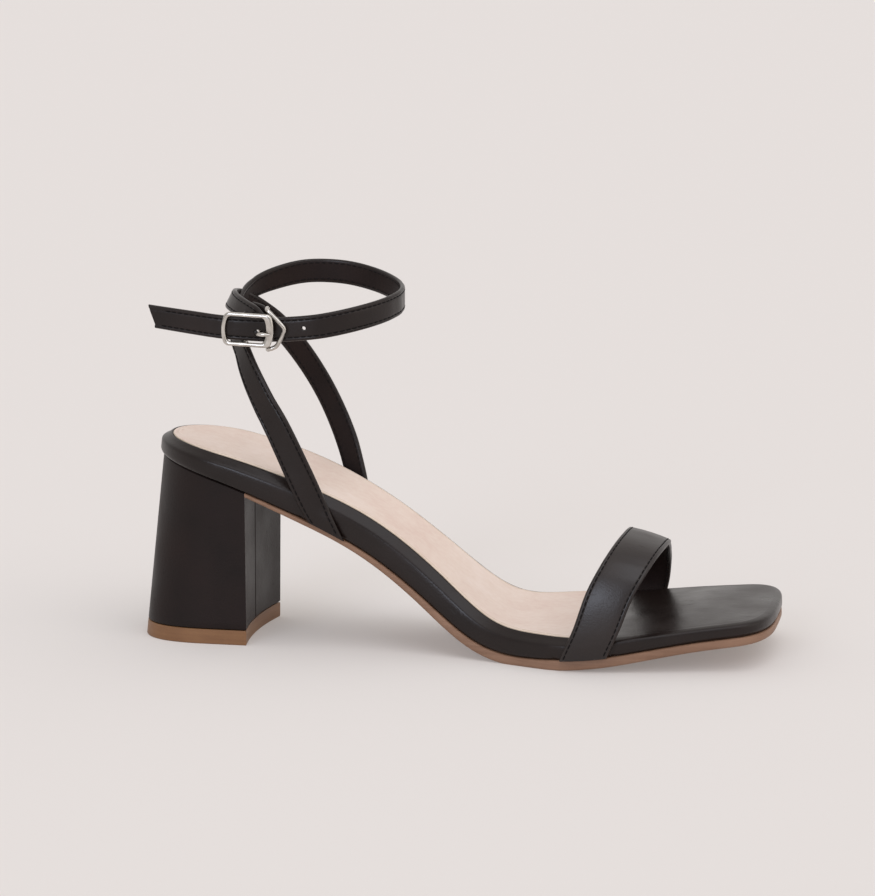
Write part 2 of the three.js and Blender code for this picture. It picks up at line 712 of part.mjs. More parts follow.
// The pin drops inwards past both edges of the strap; the prong's eye turns on it.
const pinHalf = Math.max(frameHeight / 2 - frameBar / 2, strapWidth / 2 + gap + pinDiameter / 2);
const pinCorners = [
  new THREE.Vector3(-pinBack, 0, -pinHalf),
  new THREE.Vector3(-pinBack, pinDrop, -pinHalf),
  new THREE.Vector3(-pinBack, pinDrop, pinHalf),
  new THREE.Vector3(-pinBack, 0, pinHalf),
];

// Points along a bent wire: straight runs with rounded corners.
function bentWire(corners, radius, closed) {
  const points = [];
  corners.forEach((corner, i) => {
    const before = corners[(i + corners.length - 1) % corners.length];
    const after = corners[(i + 1) % corners.length];
    if (!closed && (i === 0 || i === corners.length - 1)) {
      points.push(corner);
      return;
    }
    const bend = Math.min(radius, corner.distanceTo(before) / 2.2, corner.distanceTo(after) / 2.2);
    const enter = corner.clone().add(before.clone().sub(corner).setLength(bend));
    const leave = corner.clone().add(after.clone().sub(corner).setLength(bend));
    points.push(...new THREE.QuadraticBezierCurve3(enter, corner, leave).getPoints(4));
  });
  return new THREE.CatmullRomCurve3(points, closed, 'centripetal');
}
const pinSteps = 18;
const pinWire = wire(bentWire(pinCorners, pinBend, false), pinDiameter, pinSteps);
const frameSolid = solid(framePlate.applyMatrix4(frameSeat)).add(solid(pinWire.applyMatrix4(frameSeat)));

// Prong: an eye round the pin, then out through the strap and over the frame's broad bar.
const eyeRadius = pinDiameter / 2 + gap + prongDiameter / 2;
const eyePoints = 11;
const eyeFrom = -20;
const eyeTo = -250;
const prongPoints = [];
for (let i = 0; i < eyePoints; i += 1) {
  const turn = THREE.MathUtils.degToRad(THREE.MathUtils.lerp(eyeFrom, eyeTo, i / (eyePoints - 1)));
  prongPoints.push(new THREE.Vector3(
    -pinBack + eyeRadius * Math.cos(turn),
    pinDrop - eyeRadius * Math.sin(turn),
    -prongBelow,
  ));
}
const prongInner = pinDrop - eyeRadius;
const prongOuter = -frameThickness / 2 - gap - prongDiameter / 2;
for (const row of prongRows) {
  const y = THREE.MathUtils.lerp(prongInner, prongOuter, row.out);
  prongPoints.push(new THREE.Vector3(row.along * frameLength, y, -prongBelow));
}
const prongSteps = 32;
const prongCurve = new THREE.CatmullRomCurve3(prongPoints, false, 'centripetal');
const prongGeometry = wire(prongCurve, prongDiameter, prongSteps).applyMatrix4(frameSeat);

// The slot in the long strap that the prong passes through.
const slotLength = 3.8 * prongDiameter;
const slot = new THREE.BoxGeometry(slotLength, strapThickness * 3, prongDiameter + 2 * gap);
slot.translate(prongRows[0].along * frameLength, prongInner - strapThickness, -prongBelow);
slot.applyMatrix4(frameSeat);

const ankleStraps = solid(ribbon(longFrames, strapThickness))
  .add(solid(ribbon(shortFrames, strapThickness)))
  .subtract(bedClearance)
  .subtract(belowBed)
  .subtract(solid(slot));

// Toe strap: a crowned band from the outsole's edge on one side to the other.
function toeStrapFrames(steps) {
  const points = [];
  const dips = [];
  for (const row of toeStrapRows) {
    const x = row.along * shoeLength;
    const side = row.across < 0 ? outerSide : innerSide;
    const wallY = Math.abs(outline(stationAt(x), side).y) + strapThickness / 2;
    points.push(new THREE.Vector3(x, row.across * wallY, wallFoot(x) + row.rise * toeStrapRise));
    dips.push(row.dip);
  }
  const curve = new THREE.CatmullRomCurve3(points, false, 'centripetal');
  const frames = [];
  for (let i = 0; i <= steps; i += 1) {
    const share = i / steps;
    const place = share * (dips.length - 1);
    const row = Math.min(Math.floor(place), dips.length - 2);
    const dip = THREE.MathUtils.lerp(dips[row], dips[row + 1], place - row);
    const point = curve.getPoint(share);
    const along = curve.getTangent(share);
    const across = new THREE.Vector3(1, 0, -dip).normalize();
    const out = new THREE.Vector3().crossVectors(along, across).normalize();
    frames.push({ point, across, out, along, width: toeStrapWidth });
  }
  return frames;
}
const toeStrapSteps = 40;
const toeStrap = solid(ribbon(toeStrapFrames(toeStrapSteps), strapThickness, toeStrapCrown))
  .subtract(bedClearance)
  .subtract(belowBed);

// Ring of bent wire: its inner bars lie behind the long strap, its outer corner in front.
const ringUp = ringBar.clone().addScaledVector(foldStart.across, ringBarAbove * strapWidth);
const ringDown = ringBar.clone().addScaledVector(foldStart.across, -ringBarBelow * strapWidth);
const ringCorners = ringRows.map(({ along, front, rise }) =>
  ringUp.clone().add(new THREE.Vector3(along * strapWidth, -front * ringStand, rise * strapWidth)),
);
const ringSteps = 50;
const ringCurve = bentWire([ringDown, ringUp, ...ringCorners], ringBend, true);
const ringGeometry = new THREE.TubeGeometry(ringCurve, ringSteps, ringWire / 2, 8, true);

const parts = [
  ['outsole', outsoleGeometry, '#8a6349', 0.62, 0],
  ['footbed', footbedGeometry, '#262224', 0.42, 0],
  ['insole_sock', sockGeometry, '#dfc7ba', 0.6, 0],
  ['heel_block', heelGeometry, '#2b2627', 0.5, 0],
  ['top_lift', liftGeometry, '#a06f4b', 0.6, 0],
  ['toe_strap', geometryOf(toeStrap), '#292528', 0.42, 0],
  ['ankle_straps', geometryOf(ankleStraps), '#292426', 0.45, 0],
  ['strap_ring', ringGeometry, '#cbc4bd', 0.22, 1],
  ['buckle_frame', geometryOf(frameSolid), '#cbc4bd', 0.22, 1],
  ['buckle_prong', prongGeometry, '#cbc4bd', 0.22, 1],
];

const shoe = new THREE.Group();
for (const [name, geometry, color, roughness, metalness] of parts) {
  const mesh = new THREE.Mesh(geometry, new THREE.MeshStandardMaterial({ color, roughness, metalness }));
  mesh.name = name;
  shoe.add(mesh);
}
shoe.position.x = heelFlare - liftLength / 2;

export default shoe;
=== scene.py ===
import math
import bmesh
import bpy
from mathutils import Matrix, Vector


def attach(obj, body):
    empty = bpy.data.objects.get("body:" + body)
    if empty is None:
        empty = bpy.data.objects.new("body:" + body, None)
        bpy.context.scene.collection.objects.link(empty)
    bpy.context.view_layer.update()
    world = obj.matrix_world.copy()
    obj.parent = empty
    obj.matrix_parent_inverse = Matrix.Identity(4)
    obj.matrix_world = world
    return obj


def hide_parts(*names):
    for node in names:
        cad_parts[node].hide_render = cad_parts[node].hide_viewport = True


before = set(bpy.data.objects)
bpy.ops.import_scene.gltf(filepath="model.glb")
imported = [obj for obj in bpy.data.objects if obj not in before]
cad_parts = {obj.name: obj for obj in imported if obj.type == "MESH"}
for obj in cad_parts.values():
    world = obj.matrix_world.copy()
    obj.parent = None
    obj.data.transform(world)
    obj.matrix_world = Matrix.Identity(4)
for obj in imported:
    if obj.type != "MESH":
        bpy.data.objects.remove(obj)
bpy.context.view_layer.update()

# Women's block-heel sandal, right foot. Lengths in this script are millimetres counted from the
# back of the footbed and from the floor, as a shoemaker's drawing has them; toWorld() puts them
# into the row's metres, whose origin is the middle of the top lift's ground face.
lift = {"thickness": 5.3, "length": 41.6, "width": 49.4, "round": 30.0, "squareness": 2.8, "flare": 6.0,
        "topEase": 0.25, "floorEase": 0.35}
backToOrigin = lift["flare"] - lift["length"] / 2
outerSide = -1
innerSide = 1
gap = 0.3


def toWorld(x, y, z):
    return Vector(((x + backToOrigin) / 1000, y / 1000, z / 1000))


def linear(hexColour):
    # sRGB hex to the linear values that shader sockets take
    values = [int(hexColour[i:i + 2], 16) / 255 for i in (1, 3, 5)]
    return [v / 12.92 if v <= 0.04045 else ((v + 0.055) / 1.055) ** 2.4 for v in values] + [1.0]


def smooth(value, low, high):
    t = min(max((value - low) / (high - low), 0.0), 1.0)
    return t * t * (3 - 2 * t)


def mix(a, b, t):
    return a + (b - a) * t


def hump(value, centre, width):
    # soft ridge of height 1, used for creases, channels and tucks
    return math.exp(-((value - centre) / width) ** 2)


# Shape of the last: the same tables as the solids, but for the insole leather, which ends short of
# the solid's 168 so that none of it shows through the toe opening
last = {
    "length": 221.0,
    "ballWidth": 84.0,
    "heelWidth": 57.0,
    "heelHeight": 66.5,
    "toeSpring": 6.9,
    "wallDepth": 9.9,
    "soleThickness": 3.6,
    "ballFlat": 0.4,
    "soleInset": 0.5,
    "heelRound": 27.0,
    "toeRound": 17.0,
    "toeSquareness": 3.3,
    "bandWidth": 3.4,
    "bandRise": 1.0,
    "sockRecess": 0.6,
    "sockLength": 162.5,
    "heelInset": 1.5,
    "breastTop": 38.6,
    "breastHollow": 2.0,
    "ballAt": 0.645,
}
edgeRows = [  # place, climb to the heel seat, spring of the toe
    (0.0, 1.0, 0.0), (0.08, 0.948, 0.0), (0.18, 0.856, 0.0), (0.28, 0.726, 0.0),
    (0.38, 0.535, 0.0), (0.48, 0.258, 0.0), (0.56, 0.046, 0.0), (0.64, 0.0, 0.0),
    (0.74, 0.0, 0.02), (0.86, 0.0, 0.48), (1.0, 0.0, 1.0),
]
widthRows = [  # place, outer and inner half width
    (0.0, 0.475, 0.475), (0.105, 0.489, 0.482), (0.235, 0.508, 0.462), (0.39, 0.425, 0.352),
    (0.54, 0.408, 0.366), (0.675, 0.497, 0.495), (0.795, 0.484, 0.508), (0.92, 0.414, 0.45),
    (1.0, 0.37, 0.42),
]
depthRows = [  # place, wall depth, sole thickness, crown of the top face
    (0.0, 0.62, 0.27, -0.8), (0.135, 0.82, 0.33, -1.0), (0.285, 1.0, 0.52, -0.8),
    (0.49, 0.89, 0.75, -0.3), (0.645, 0.72, 1.0, -0.5), (0.795, 0.46, 0.92, 0.9),
    (1.0, 0.38, 0.84, 1.5),
]


def column(rows, index):
    # natural cubic spline through one column of a table
    at = [row[0] for row in rows]
    value = [row[index] for row in rows]
    count = len(rows)
    bend = [0.0] * count
    carry = [0.0] * count
    for i in range(1, count - 1):
        before = at[i] - at[i - 1]
        after = at[i + 1] - at[i]
        share = before / (before + after)
        pivot = share * bend[i - 1] + 2
        steps = (value[i + 1] - value[i]) / after - (value[i] - value[i - 1]) / before
        bend[i] = (share - 1) / pivot
        carry[i] = (6 * steps / (before + after) - share * carry[i - 1]) / pivot
    bend[-1] = 0.0
    for i in range(count - 2, 0, -1):
        bend[i] = bend[i] * bend[i + 1] + carry[i]
    bend[0] = 0.0

    def read(place):
        i = 0
        while i < count - 2 and place > at[i + 1]:
            i += 1
        span = at[i + 1] - at[i]
        a = (at[i + 1] - place) / span
        b = 1 - a
        cubic = ((a ** 3 - a) * bend[i] + (b ** 3 - b) * bend[i + 1]) * span ** 2 / 6
        return a * value[i] + b * value[i + 1] + cubic

    return read


climbAt = column(edgeRows, 1)
springAt = column(edgeRows, 2)
outerAt = column(widthRows, 1)
innerAt = column(widthRows, 2)
wallShareAt = column(depthRows, 1)
soleShareAt = column(depthRows, 2)
crownAt = column(depthRows, 3)


def wallAt(x):
    return last["wallDepth"] * wallShareAt(x / last["length"])


def soleAt(x):
    return last["soleThickness"] * soleShareAt(x / last["length"])


ballHeight = wallAt(last["ballAt"] * last["length"]) + gap + last["soleThickness"] - last["ballFlat"]
seatHeight = last["heelHeight"] + wallAt(0)


def edgeHeight(x):
    place = x / last["length"]
    return ballHeight + (seatHeight - ballHeight) * climbAt(place) + last["toeSpring"] * springAt(place)


def bedPoint(x, y, depth):
    # point square below the footbed's edge line; a depth below zero lies above it
    step = 0.5
    slope = (edgeHeight(x + step) - edgeHeight(x - step)) / (2 * step)
    down = Vector((slope, 0, -1)).normalized()
    return Vector((x, y, edgeHeight(x))) + down * depth


def wallFoot(x):
    edge = x
    for _ in range(8):
        edge += x - bedPoint(edge, 0, wallAt(edge)).x
    return bedPoint(edge, 0, wallAt(edge)).z


heelShare = 0.2
toeShare = 0.8


def outline(station, side):
    # plan outline on one side, from the back at 0 to the toe at 1
    length = last["length"]
    turn = 1.0
    if station < heelShare:
        angle = station / heelShare * math.pi / 2
        x = last["heelRound"] * (1 - math.cos(angle))
        turn = math.sin(angle)
    elif station > toeShare:
        angle = (station - toeShare) / (1 - toeShare) * math.pi / 2
        power = 2 / last["toeSquareness"]
        x = length - last["toeRound"] * (1 - math.sin(angle) ** power)
        turn = max(math.cos(angle), 0) ** power
    else:
        x = mix(last["heelRound"], length - last["toeRound"], (station - heelShare) / (toeShare - heelShare))
    place = x / length
    width = mix(last["heelWidth"], last["ballWidth"], smooth(place, 0.3, 0.7))
    half = width * (outerAt(place) if side < 0 else innerAt(place))
    return Vector((x, side * half * turn))


def insetOutline(station, side, inset):
    point = outline(station, side)
    step = 0.004
    tangent = Vector((0, side if station < 0.5 else -side))
    if step < station < 1 - step:
        tangent = outline(station + step, side) - outline(station - step, side)
    inward = Vector((tangent.y, -tangent.x)) * side
    return point + inward.normalized() * inset


def stationAt(x):
    low = 0.0
    high = 1.0
    for _ in range(40):
        middle = (low + high) / 2
        if outline(middle, outerSide).x < x:
            low = middle
        else:
            high = middle
    return low


def archAt(x, across):
    heelFade = smooth(x, 0, last["heelRound"])
    toeFade = 1 - smooth(x, last["length"] - 1.5 * last["toeRound"], last["length"] - last["bandWidth"])
    return crownAt(x / last["length"]) * (1 - (2 * across - 1) ** 2) * heelFade * toeFade


def recessAt(x):
    return last["sockRecess"] * (1 - smooth(x, last["sockLength"], last["sockLength"] + 5))


# Meshes from grids of points
def newPiece(name, verts, faces, materials=(), faceMaterial=None, sharp=40):
    mesh = bpy.data.meshes.new(name)
    mesh.from_pydata([tuple(v) for v in verts], [], faces)
    piece = bpy.data.objects.new(name, mesh)
    bpy.context.scene.collection.objects.link(piece)
    for material in materials:
        mesh.materials.append(material)
    if faceMaterial is not None:
        mesh.polygons.foreach_set("material_index", faceMaterial)
    work = bmesh.new()
    work.from_mesh(mesh)
    bmesh.ops.remove_doubles(work, verts=work.verts, dist=2e-6)
    bmesh.ops.dissolve_degenerate(work, edges=work.edges, dist=1e-6)
    bmesh.ops.recalc_face_normals(work, faces=work.faces)
    work.to_mesh(mesh)
    work.free()
    mesh.shade_smooth()
    mesh.set_sharp_from_angle(angle=math.radians(sharp))
    return piece


def finished(piece, *nodes, slot):
    # every piece rides on the one body, and stands for the solids it covers
    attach(piece, "root")
    if nodes:
        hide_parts(*nodes)
    return piece


def layerGrid(start, end, rows, cols, inset, place):
    points = []
    for i in range(rows + 1):
        along = i / rows
        station = mix(start, end, along)
        left = insetOutline(station, outerSide, inset)
        right = insetOutline(station, innerSide, inset)
        row = []
        for m in range(cols + 1):
            flat = left.lerp(right, m / cols)
            row.append(place(flat.x, flat.y, m / cols, along))
        points.append(row)
    return points


def slab(name, top, rims, bottom, **options):
    # top and bottom are whole grids; of the layers between only the rim is used
    rows = len(top)
    cols = len(top[0])
    rim = [(0, m) for m in range(cols)] + [(i, cols - 1) for i in range(1, rows)]
    rim += [(rows - 1, m) for m in range(cols - 2, -1, -1)] + [(i, 0) for i in range(rows - 2, 0, -1)]
    verts = []
    faces = []
    for grid in (top, bottom):
        start = len(verts)
        verts += [toWorld(*p) for row in grid for p in row]
        for i in range(rows - 1):
            for m in range(cols - 1):
                a = start + i * cols + m
                faces.append((a, a + cols, a + cols + 1, a + 1))
    loops = [[i * cols + m for i, m in rim]]
    for layer in rims:
        start = len(verts)
        verts += [toWorld(*layer[i][m]) for i, m in rim]
        loops.append(list(range(start, start + len(rim))))
    loops.append([rows * cols + i * cols + m for i, m in rim])
    for upper, lower in zip(loops, loops[1:]):
        for j in range(len(rim)):
            k = (j + 1) % len(rim)
            faces.append((upper[j], upper[k], lower[k], lower[j]))
    return newPiece(name, verts, faces, **options)


def skin(name, rings, closed=False, middles=None, **options):
    # rings of equal count joined by quads; an open run is closed with a fan at each end, round the
    # ring's own middle or a given one
    count = len(rings[0])
    verts = [toWorld(*p) for ring in rings for p in ring]
    faces = []
    for k in range(len(rings) if closed else len(rings) - 1):
        n = (k + 1) % len(rings)
        for j in range(count):
            m = (j + 1) % count
            faces.append((k * count + j, n * count + j, n * count + m, k * count + m))
    for k in () if closed else (0, len(rings) - 1):
        middle = len(verts)
        mean = sum((verts[k * count + j] for j in range(count)), Vector()) / count
        verts.append(toWorld(*middles[k]) if middles else mean)
        for j in range(count):
            faces.append((k * count + j, k * count + (j + 1) % count, middle))
    return newPiece(name, verts, faces, **options)


# Materials. One function fills sockets and one adds a node with its settings and links.
def plug(tree, node, sockets):
    # a socket takes a plain value, another socket, or a node, which stands for its first output
    for socket, value in sockets.items():
        if isinstance(value, bpy.types.Node):
            value = value.outputs[0]
        if isinstance(value, bpy.types.NodeSocket):
            tree.links.new(value, node.inputs[socket])
        else:
            node.inputs[socket].default_value = value


def addNode(tree, kind, sockets=None, **settings):
    node = tree.nodes.new(kind)
    for key, value in settings.items():
        setattr(node, key, value)
    plug(tree, node, sockets or {})
    return node


def newMaterial(name, sockets):
    material = bpy.data.materials.new(name)
    material.use_nodes = True
    shader = material.node_tree.nodes["Principled BSDF"]
    plug(material.node_tree, shader, sockets)
    return material, material.node_tree, shader


def ramp(tree, source, stops):
    node = addNode(tree, "ShaderNodeValToRGB", {"Fac": source})
    elements = node.color_ramp.elements
    while len(elements) < len(stops):
        elements.new(0.5)
    for element, (position, colour) in zip(elements, stops):
        element.position = position
        element.color = linear(colour)
    return node


def smoothLeather(name, dark, light, roughness, gloss, grain, grainDepth, creaseDepth):
    # Corrected-grain leather, pigment sprayed and ironed: a fine pebble that breaks the light,
    # slow tone changes, and a thin wax finish that shines where the light grazes it. Grain and
    # depths are in mm.
    material, tree, shader = newMaterial(name, {"IOR": 1.5, "Specular IOR Level": gloss})
    place = addNode(tree, "ShaderNodeTexCoord").outputs["Object"]
    tone = addNode(tree, "ShaderNodeTexNoise", {"Vector": place, "Scale": 60.0, "Detail": 3.0})
    pebble = addNode(tree, "ShaderNodeTexVoronoi",
                     {"Vector": place, "Scale": 1000 / grain, "Randomness": 0.9}, feature="SMOOTH_F1")
    fine = addNode(tree, "ShaderNodeTexNoise",
                   {"Vector": place, "Scale": 1000 / (grain * 2.2), "Detail": 4.0})
    crease = addNode(tree, "ShaderNodeTexNoise",
                     {"Vector": place, "Scale": 90.0, "Detail": 5.0, "Distortion": 0.6})
    rough = addNode(tree, "ShaderNodeMapRange", {"Value": tone, "From Min": 0.3, "From Max": 0.7,
                                                 "To Min": roughness - 0.05, "To Max": roughness + 0.07})
    drawn = addNode(tree, "ShaderNodeMapping",
                    {"Vector": place, "Rotation": (0.2, 0.5, 0.4), "Scale": (70.0, 900.0, 900.0)})
    marks = addNode(tree, "ShaderNodeTexNoise", {"Vector": drawn, "Scale": 1.0, "Detail": 2.0})
    scuff = addNode(tree, "ShaderNodeMapRange",
                    {"Value": marks, "From Min": 0.66, "From Max": 0.76, "To Min": 0.0, "To Max": 0.15})
    dulled = addNode(tree, "ShaderNodeMath", {0: rough, 1: scuff}, operation="ADD")
    bent = addNode(tree, "ShaderNodeBump",
                   {"Height": crease, "Strength": 0.5, "Distance": creaseDepth / 1000})
    mottled = addNode(tree, "ShaderNodeBump",
                      {"Height": fine, "Strength": 0.5, "Distance": grainDepth / 1000, "Normal": bent})
    grained = addNode(tree, "ShaderNodeBump",
                      {"Height": pebble, "Strength": 0.6, "Distance": grainDepth / 1000, "Normal": mottled})
    plug(tree, shader, {"Base Color": ramp(tree, tone, [(0.3, dark), (0.72, light)]), "Roughness": dulled,
                        "Normal": grained})
    return material


blackLeather = smoothLeather("black_calf_leather", "#170f0d", "#1f1512", 0.32, 0.33, 0.55, 0.05, 0.25)
# the toe band's leather is the calf made glossier and a little lighter: the gloss is real reflection, the
# lighter base colour is painted light for the brighter-lit band
paintedLighterBandLeather = smoothLeather("black_toe_band_leather_painted_lighter", "#1a1211", "#221815", 0.38, 0.5, 0.55, 0.05, 0.25)
heelLeather = smoothLeather("black_heel_cover_leather", "#170f0e", "#201513", 0.46, 0.21, 0.5, 0.07, 0.15)
liningLeather = smoothLeather("black_lining_leather", "#1a1110", "#261b18", 0.6, 0.2, 0.45, 0.06, 0.2)


def sockLeather():
    # Pigskin-type lining leather, matt and faintly nappy: pores and soft blotches
    material, tree, shader = newMaterial("rose_beige_lining_leather",
                                         {"IOR": 1.45, "Roughness": 0.74, "Specular IOR Level": 0.3})
    place = addNode(tree, "ShaderNodeTexCoord").outputs["Object"]
    tone = addNode(tree, "ShaderNodeTexNoise",
                   {"Vector": place, "Scale": 34.0, "Detail": 5.0, "Roughness": 0.6})
    fleck = addNode(tree, "ShaderNodeTexNoise", {"Vector": place, "Scale": 420.0, "Detail": 3.0})
    pores = addNode(tree, "ShaderNodeTexVoronoi", {"Vector": place, "Scale": 1000 / 0.7, "Randomness": 1.0})
    part = addNode(tree, "ShaderNodeMath", {0: fleck, 1: 0.4}, operation="MULTIPLY")
    both = addNode(tree, "ShaderNodeMath", {0: tone, 1: part}, operation="ADD")
    soft = addNode(tree, "ShaderNodeBump", {"Height": tone, "Strength": 0.4, "Distance": 0.0004})
    pored = addNode(tree, "ShaderNodeBump",
                    {"Height": pores, "Strength": 0.5, "Distance": 0.00005, "Normal": soft})
    colour = ramp(tree, both, [(0.5, "#dfc9bd"), (0.7, "#e5d3c7"), (0.9, "#eadad0")])
    plug(tree, shader, {"Base Color": colour, "Normal": pored})
    return material


def leatherBoard(name, low, high, roughness):
    # Resin-bonded leather board, cut and sanded, stained and burnished on the edge: thin plies
    material, tree, shader = newMaterial(name, {"IOR": 1.5, "Roughness": roughness})
    place = addNode(tree, "ShaderNodeTexCoord").outputs["Object"]
    tone = addNode(tree, "ShaderNodeTexNoise",
                   {"Vector": place, "Scale": 70.0, "Detail": 6.0, "Roughness": 0.65})
    layers = addNode(tree, "ShaderNodeMapping", {"Vector": place, "Scale": (40.0, 40.0, 900.0)})
    ply = addNode(tree, "ShaderNodeTexNoise", {"Vector": layers, "Scale": 1.0, "Detail": 3.0})
    fibre = addNode(tree, "ShaderNodeTexNoise", {"Vector": place, "Scale": 1400.0, "Detail": 3.0})
    both = addNode(tree, "ShaderNodeMath", {0: tone, 1: ply}, operation="ADD")
    half = addNode(tree, "ShaderNodeMath", {0: both, 1: 0.5}, operation="MULTIPLY")
    sanded = addNode(tree, "ShaderNodeBump", {"Height": fibre, "Strength": 0.35, "Distance": 0.00008})
    plug(tree, shader, {"Base Color": ramp(tree, half, [(0.36, low), (0.64, high)]), "Normal": sanded})
    return material


def polishedNickel():
    # Die-cast zinc, polished and nickel plated: bright, faintly warm, with the casting's soft ripple
    material, tree, shader = newMaterial("polished_nickel_plate", {"Metallic": 1.0})
    place = addNode(tree, "ShaderNodeTexCoord").outputs["Object"]
    ripple = addNode(tree, "ShaderNodeTexNoise", {"Vector": place, "Scale": 420.0, "Detail": 2.0})
    rough = addNode(tree, "ShaderNodeMapRange",
                    {"Value": ripple, "From Min": 0.3, "From Max": 0.7, "To Min": 0.12, "To Max": 0.22})
    waved = addNode(tree, "ShaderNodeBump", {"Height": ripple, "Strength": 0.25, "Distance": 0.0001})
    plug(tree, shader, {"Base Color": ramp(tree, ripple, [(0.3, "#bcb7b1"), (0.7, "#d6d2cc")]),
                        "Roughness": rough, "Normal": waved})
    return material


def sewingThread():
    # Bonded polyester thread, twisted: fine slanting plies and a dull gloss
    material, tree, shader = newMaterial("black_polyester_thread",
                                         {"IOR": 1.5, "Roughness": 0.75, "Specular IOR Level": 0.2})
    place = addNode(tree, "ShaderNodeTexCoord").outputs["Object"]
    wave = addNode(tree, "ShaderNodeTexWave", {"Vector": place, "Scale": 700.0, "Distortion": 1.5},
                   bands_direction="DIAGONAL")
    plies = wave.outputs["Fac"]
    twisted = addNode(tree, "ShaderNodeBump", {"Height": plies, "Strength": 0.4, "Distance": 0.00005})
    plug(tree, shader, {"Base Color": ramp(tree, plies, [(0.2, "#080607"), (0.9, "#110e0e")]),
                        "Normal": twisted})
    return material


roseLeather = sockLeather()
rawEdge = leatherBoard("raw_leather_edge", "#cbb8a2", "#ddccb8", 0.8)
soleBoard = leatherBoard("tan_sole_board", "#7c5c47", "#92705a", 0.55)
liftBoard = leatherBoard("tan_lift_board", "#775132", "#87603d", 0.5)
nickelPlate = polishedNickel()
blackThread = sewingThread()
print("materials made")


# Footbed: leather lasted over the board, with a soft ridge round its edge
footbed = {
    "rows": 190,
    "cols": 30,
    "tuck": {"depth": 0.5, "beside": 1.2, "width": 1.1},   # pull of the wrap beside each strap's foot
    "rim": [  # inset, depth on the toe platform, depth of the bevelled band from the heel to the ball
        (3.1, -0.96, -0.9), (2.9, -1.0, -0.82), (2.5, -0.97, -0.45), (2.0, -0.88, 0.1), (1.5, -0.75, 0.66),
        (1.0, -0.58, 1.22), (0.6, -0.4, 1.67), (0.36, -0.2, 1.98), (0.18, 0.03, 2.3), (0.06, 0.34, 2.7),
        (0.0, 0.7, 3.1),
    ],
    "bevelEnds": (150.0, 176.0),
    "wall": [(0.02, 0.2), (0.06, 0.45), (0.14, 0.72)],   # inset and share of the way down the wall
    "foot": [(0.32, 0.75), (0.62, 0.3), (0.95, 0.06), (1.25, 0.0)],   # inset, height above the underside
}
strapFeet = [  # place, side, half width
    (65.8, outerSide, 5.0), (66.5, innerSide, 4.6), (158.0, outerSide, 8.4), (168.0, innerSide, 8.4),
]


def tuckAt(x, y, share):
    # the wrap is drawn in where a strap passes under it, most at the foot of the wall
    tuck = footbed["tuck"]
    pull = 0.0
    for foot, side, half in strapFeet:
        if side == math.copysign(1, y):
            pull += hump(x, foot - half - tuck["beside"], tuck["width"])
            pull += hump(x, foot + half + tuck["beside"], tuck["width"])
    return pull * share * tuck["depth"]


def bedLayer(inset, depth, arched=False, share=0.0):
    def place(x, y, across, along):
        point = bedPoint(x, y, depth(x) - (archAt(x, across) if arched else 0))
        tuck = tuckAt(x, y, share)
        point.y -= math.copysign(tuck, y) * smooth(abs(y), 2, 10)
        return point
    return layerGrid(0, 1, footbed["rows"], footbed["cols"], inset, place)


def fixed(depth):
    return lambda x: depth


def rimDepth(flat, bevelled):
    # the lasted edge is bevelled up to the ball and squares off under the toe strap
    def read(x):
        fall = bevelled if bevelled < 0 else bevelled * wallAt(x) / last["wallDepth"]
        return mix(fall, flat, smooth(x, *footbed["bevelEnds"]))
    return read


def wallDepth(share):
    ridge = rimDepth(*footbed["rim"][-1][1:])
    return lambda x: mix(ridge(x), wallAt(x), share)


bedTop = bedLayer(last["bandWidth"], lambda x: recessAt(x) - last["bandRise"], arched=True)
bedRims = [bedLayer(inset, rimDepth(flat, bevelled)) for inset, flat, bevelled in footbed["rim"]]
bedRims += [bedLayer(inset, wallDepth(share), share=share) for inset, share in footbed["wall"]]
bedRims += [bedLayer(inset, lambda x, u=up: wallAt(x) - u, share=1.0) for inset, up in footbed["foot"]]
bedBottom = bedLayer(2.4, wallAt)
footbedPiece = slab("footbed_wrap", bedTop, bedRims, bedBottom, materials=[blackLeather], sharp=60)
finished(footbedPiece, "footbed", slot="footbed")
print("footbed made")


# Insole sock: thin leather with a pressed line inside its edge and faint flex creases at the ball
sock = {
    "rows": 170,
    "cols": 40,
    "proud": 0.1,        # sock's face above the leather band round it
    "topInset": 2.6,
    "edge": [  # inset and depth below the face: the pressed line, then the rounded edge
        (2.2, 0.0), (1.7, 0.0), (1.52, 0.13), (1.4, 0.15), (1.28, 0.13), (1.1, 0.0),
        (0.48, 0.0), (0.18, 0.05), (0.04, 0.21),
    ],
    "underside": [(0.0, 0.12), (0.3, 0.0)],   # inset, height above the recess
    "creases": [(112.0, 9.0, 0.1), (121.0, 7.0, 0.12), (131.0, 8.0, 0.08)],   # place, width, depth
}
sockInset = last["bandWidth"] + gap
sockTop = last["bandRise"] + sock["proud"]
sockBottom = last["bandRise"] - last["sockRecess"] + 0.05
sockEnd = round(stationAt(last["sockLength"]) * 40) / 40   # on a row of the footbed's solid


def sockLayer(inset, rise):
    def place(x, y, across, along):
        up = rise
        for centre, width, depth in sock["creases"]:
            wander = 1.6 * math.sin(y / 9 + centre)
            up -= depth * hump(x + wander, centre, width / 4) * (0.6 + 0.4 * math.cos(y / 13))
        return bedPoint(x, y, -up - archAt(x, across))
    return layerGrid(0, sockEnd, sock["rows"], sock["cols"], sockInset + inset, place)


sockRims = [sockLayer(inset, sockTop - depth) for inset, depth in sock["edge"]]
sockUnder = [sockLayer(inset, sockBottom + up) for inset, up in sock["underside"]]
sockPiece = slab("insole_sock_leather", sockLayer(sock["topInset"], sockTop), sockRims + sockUnder[:1],
                 sockUnder[1], materials=[roseLeather, rawEdge], sharp=50)
for face in sockPiece.data.polygons:
    if abs(face.normal.y) > 0.5 or face.normal.x < -0.4:
        face.material_index = 1
finished(sockPiece, "insole_sock", slot="insole_sock")
print("sock made")


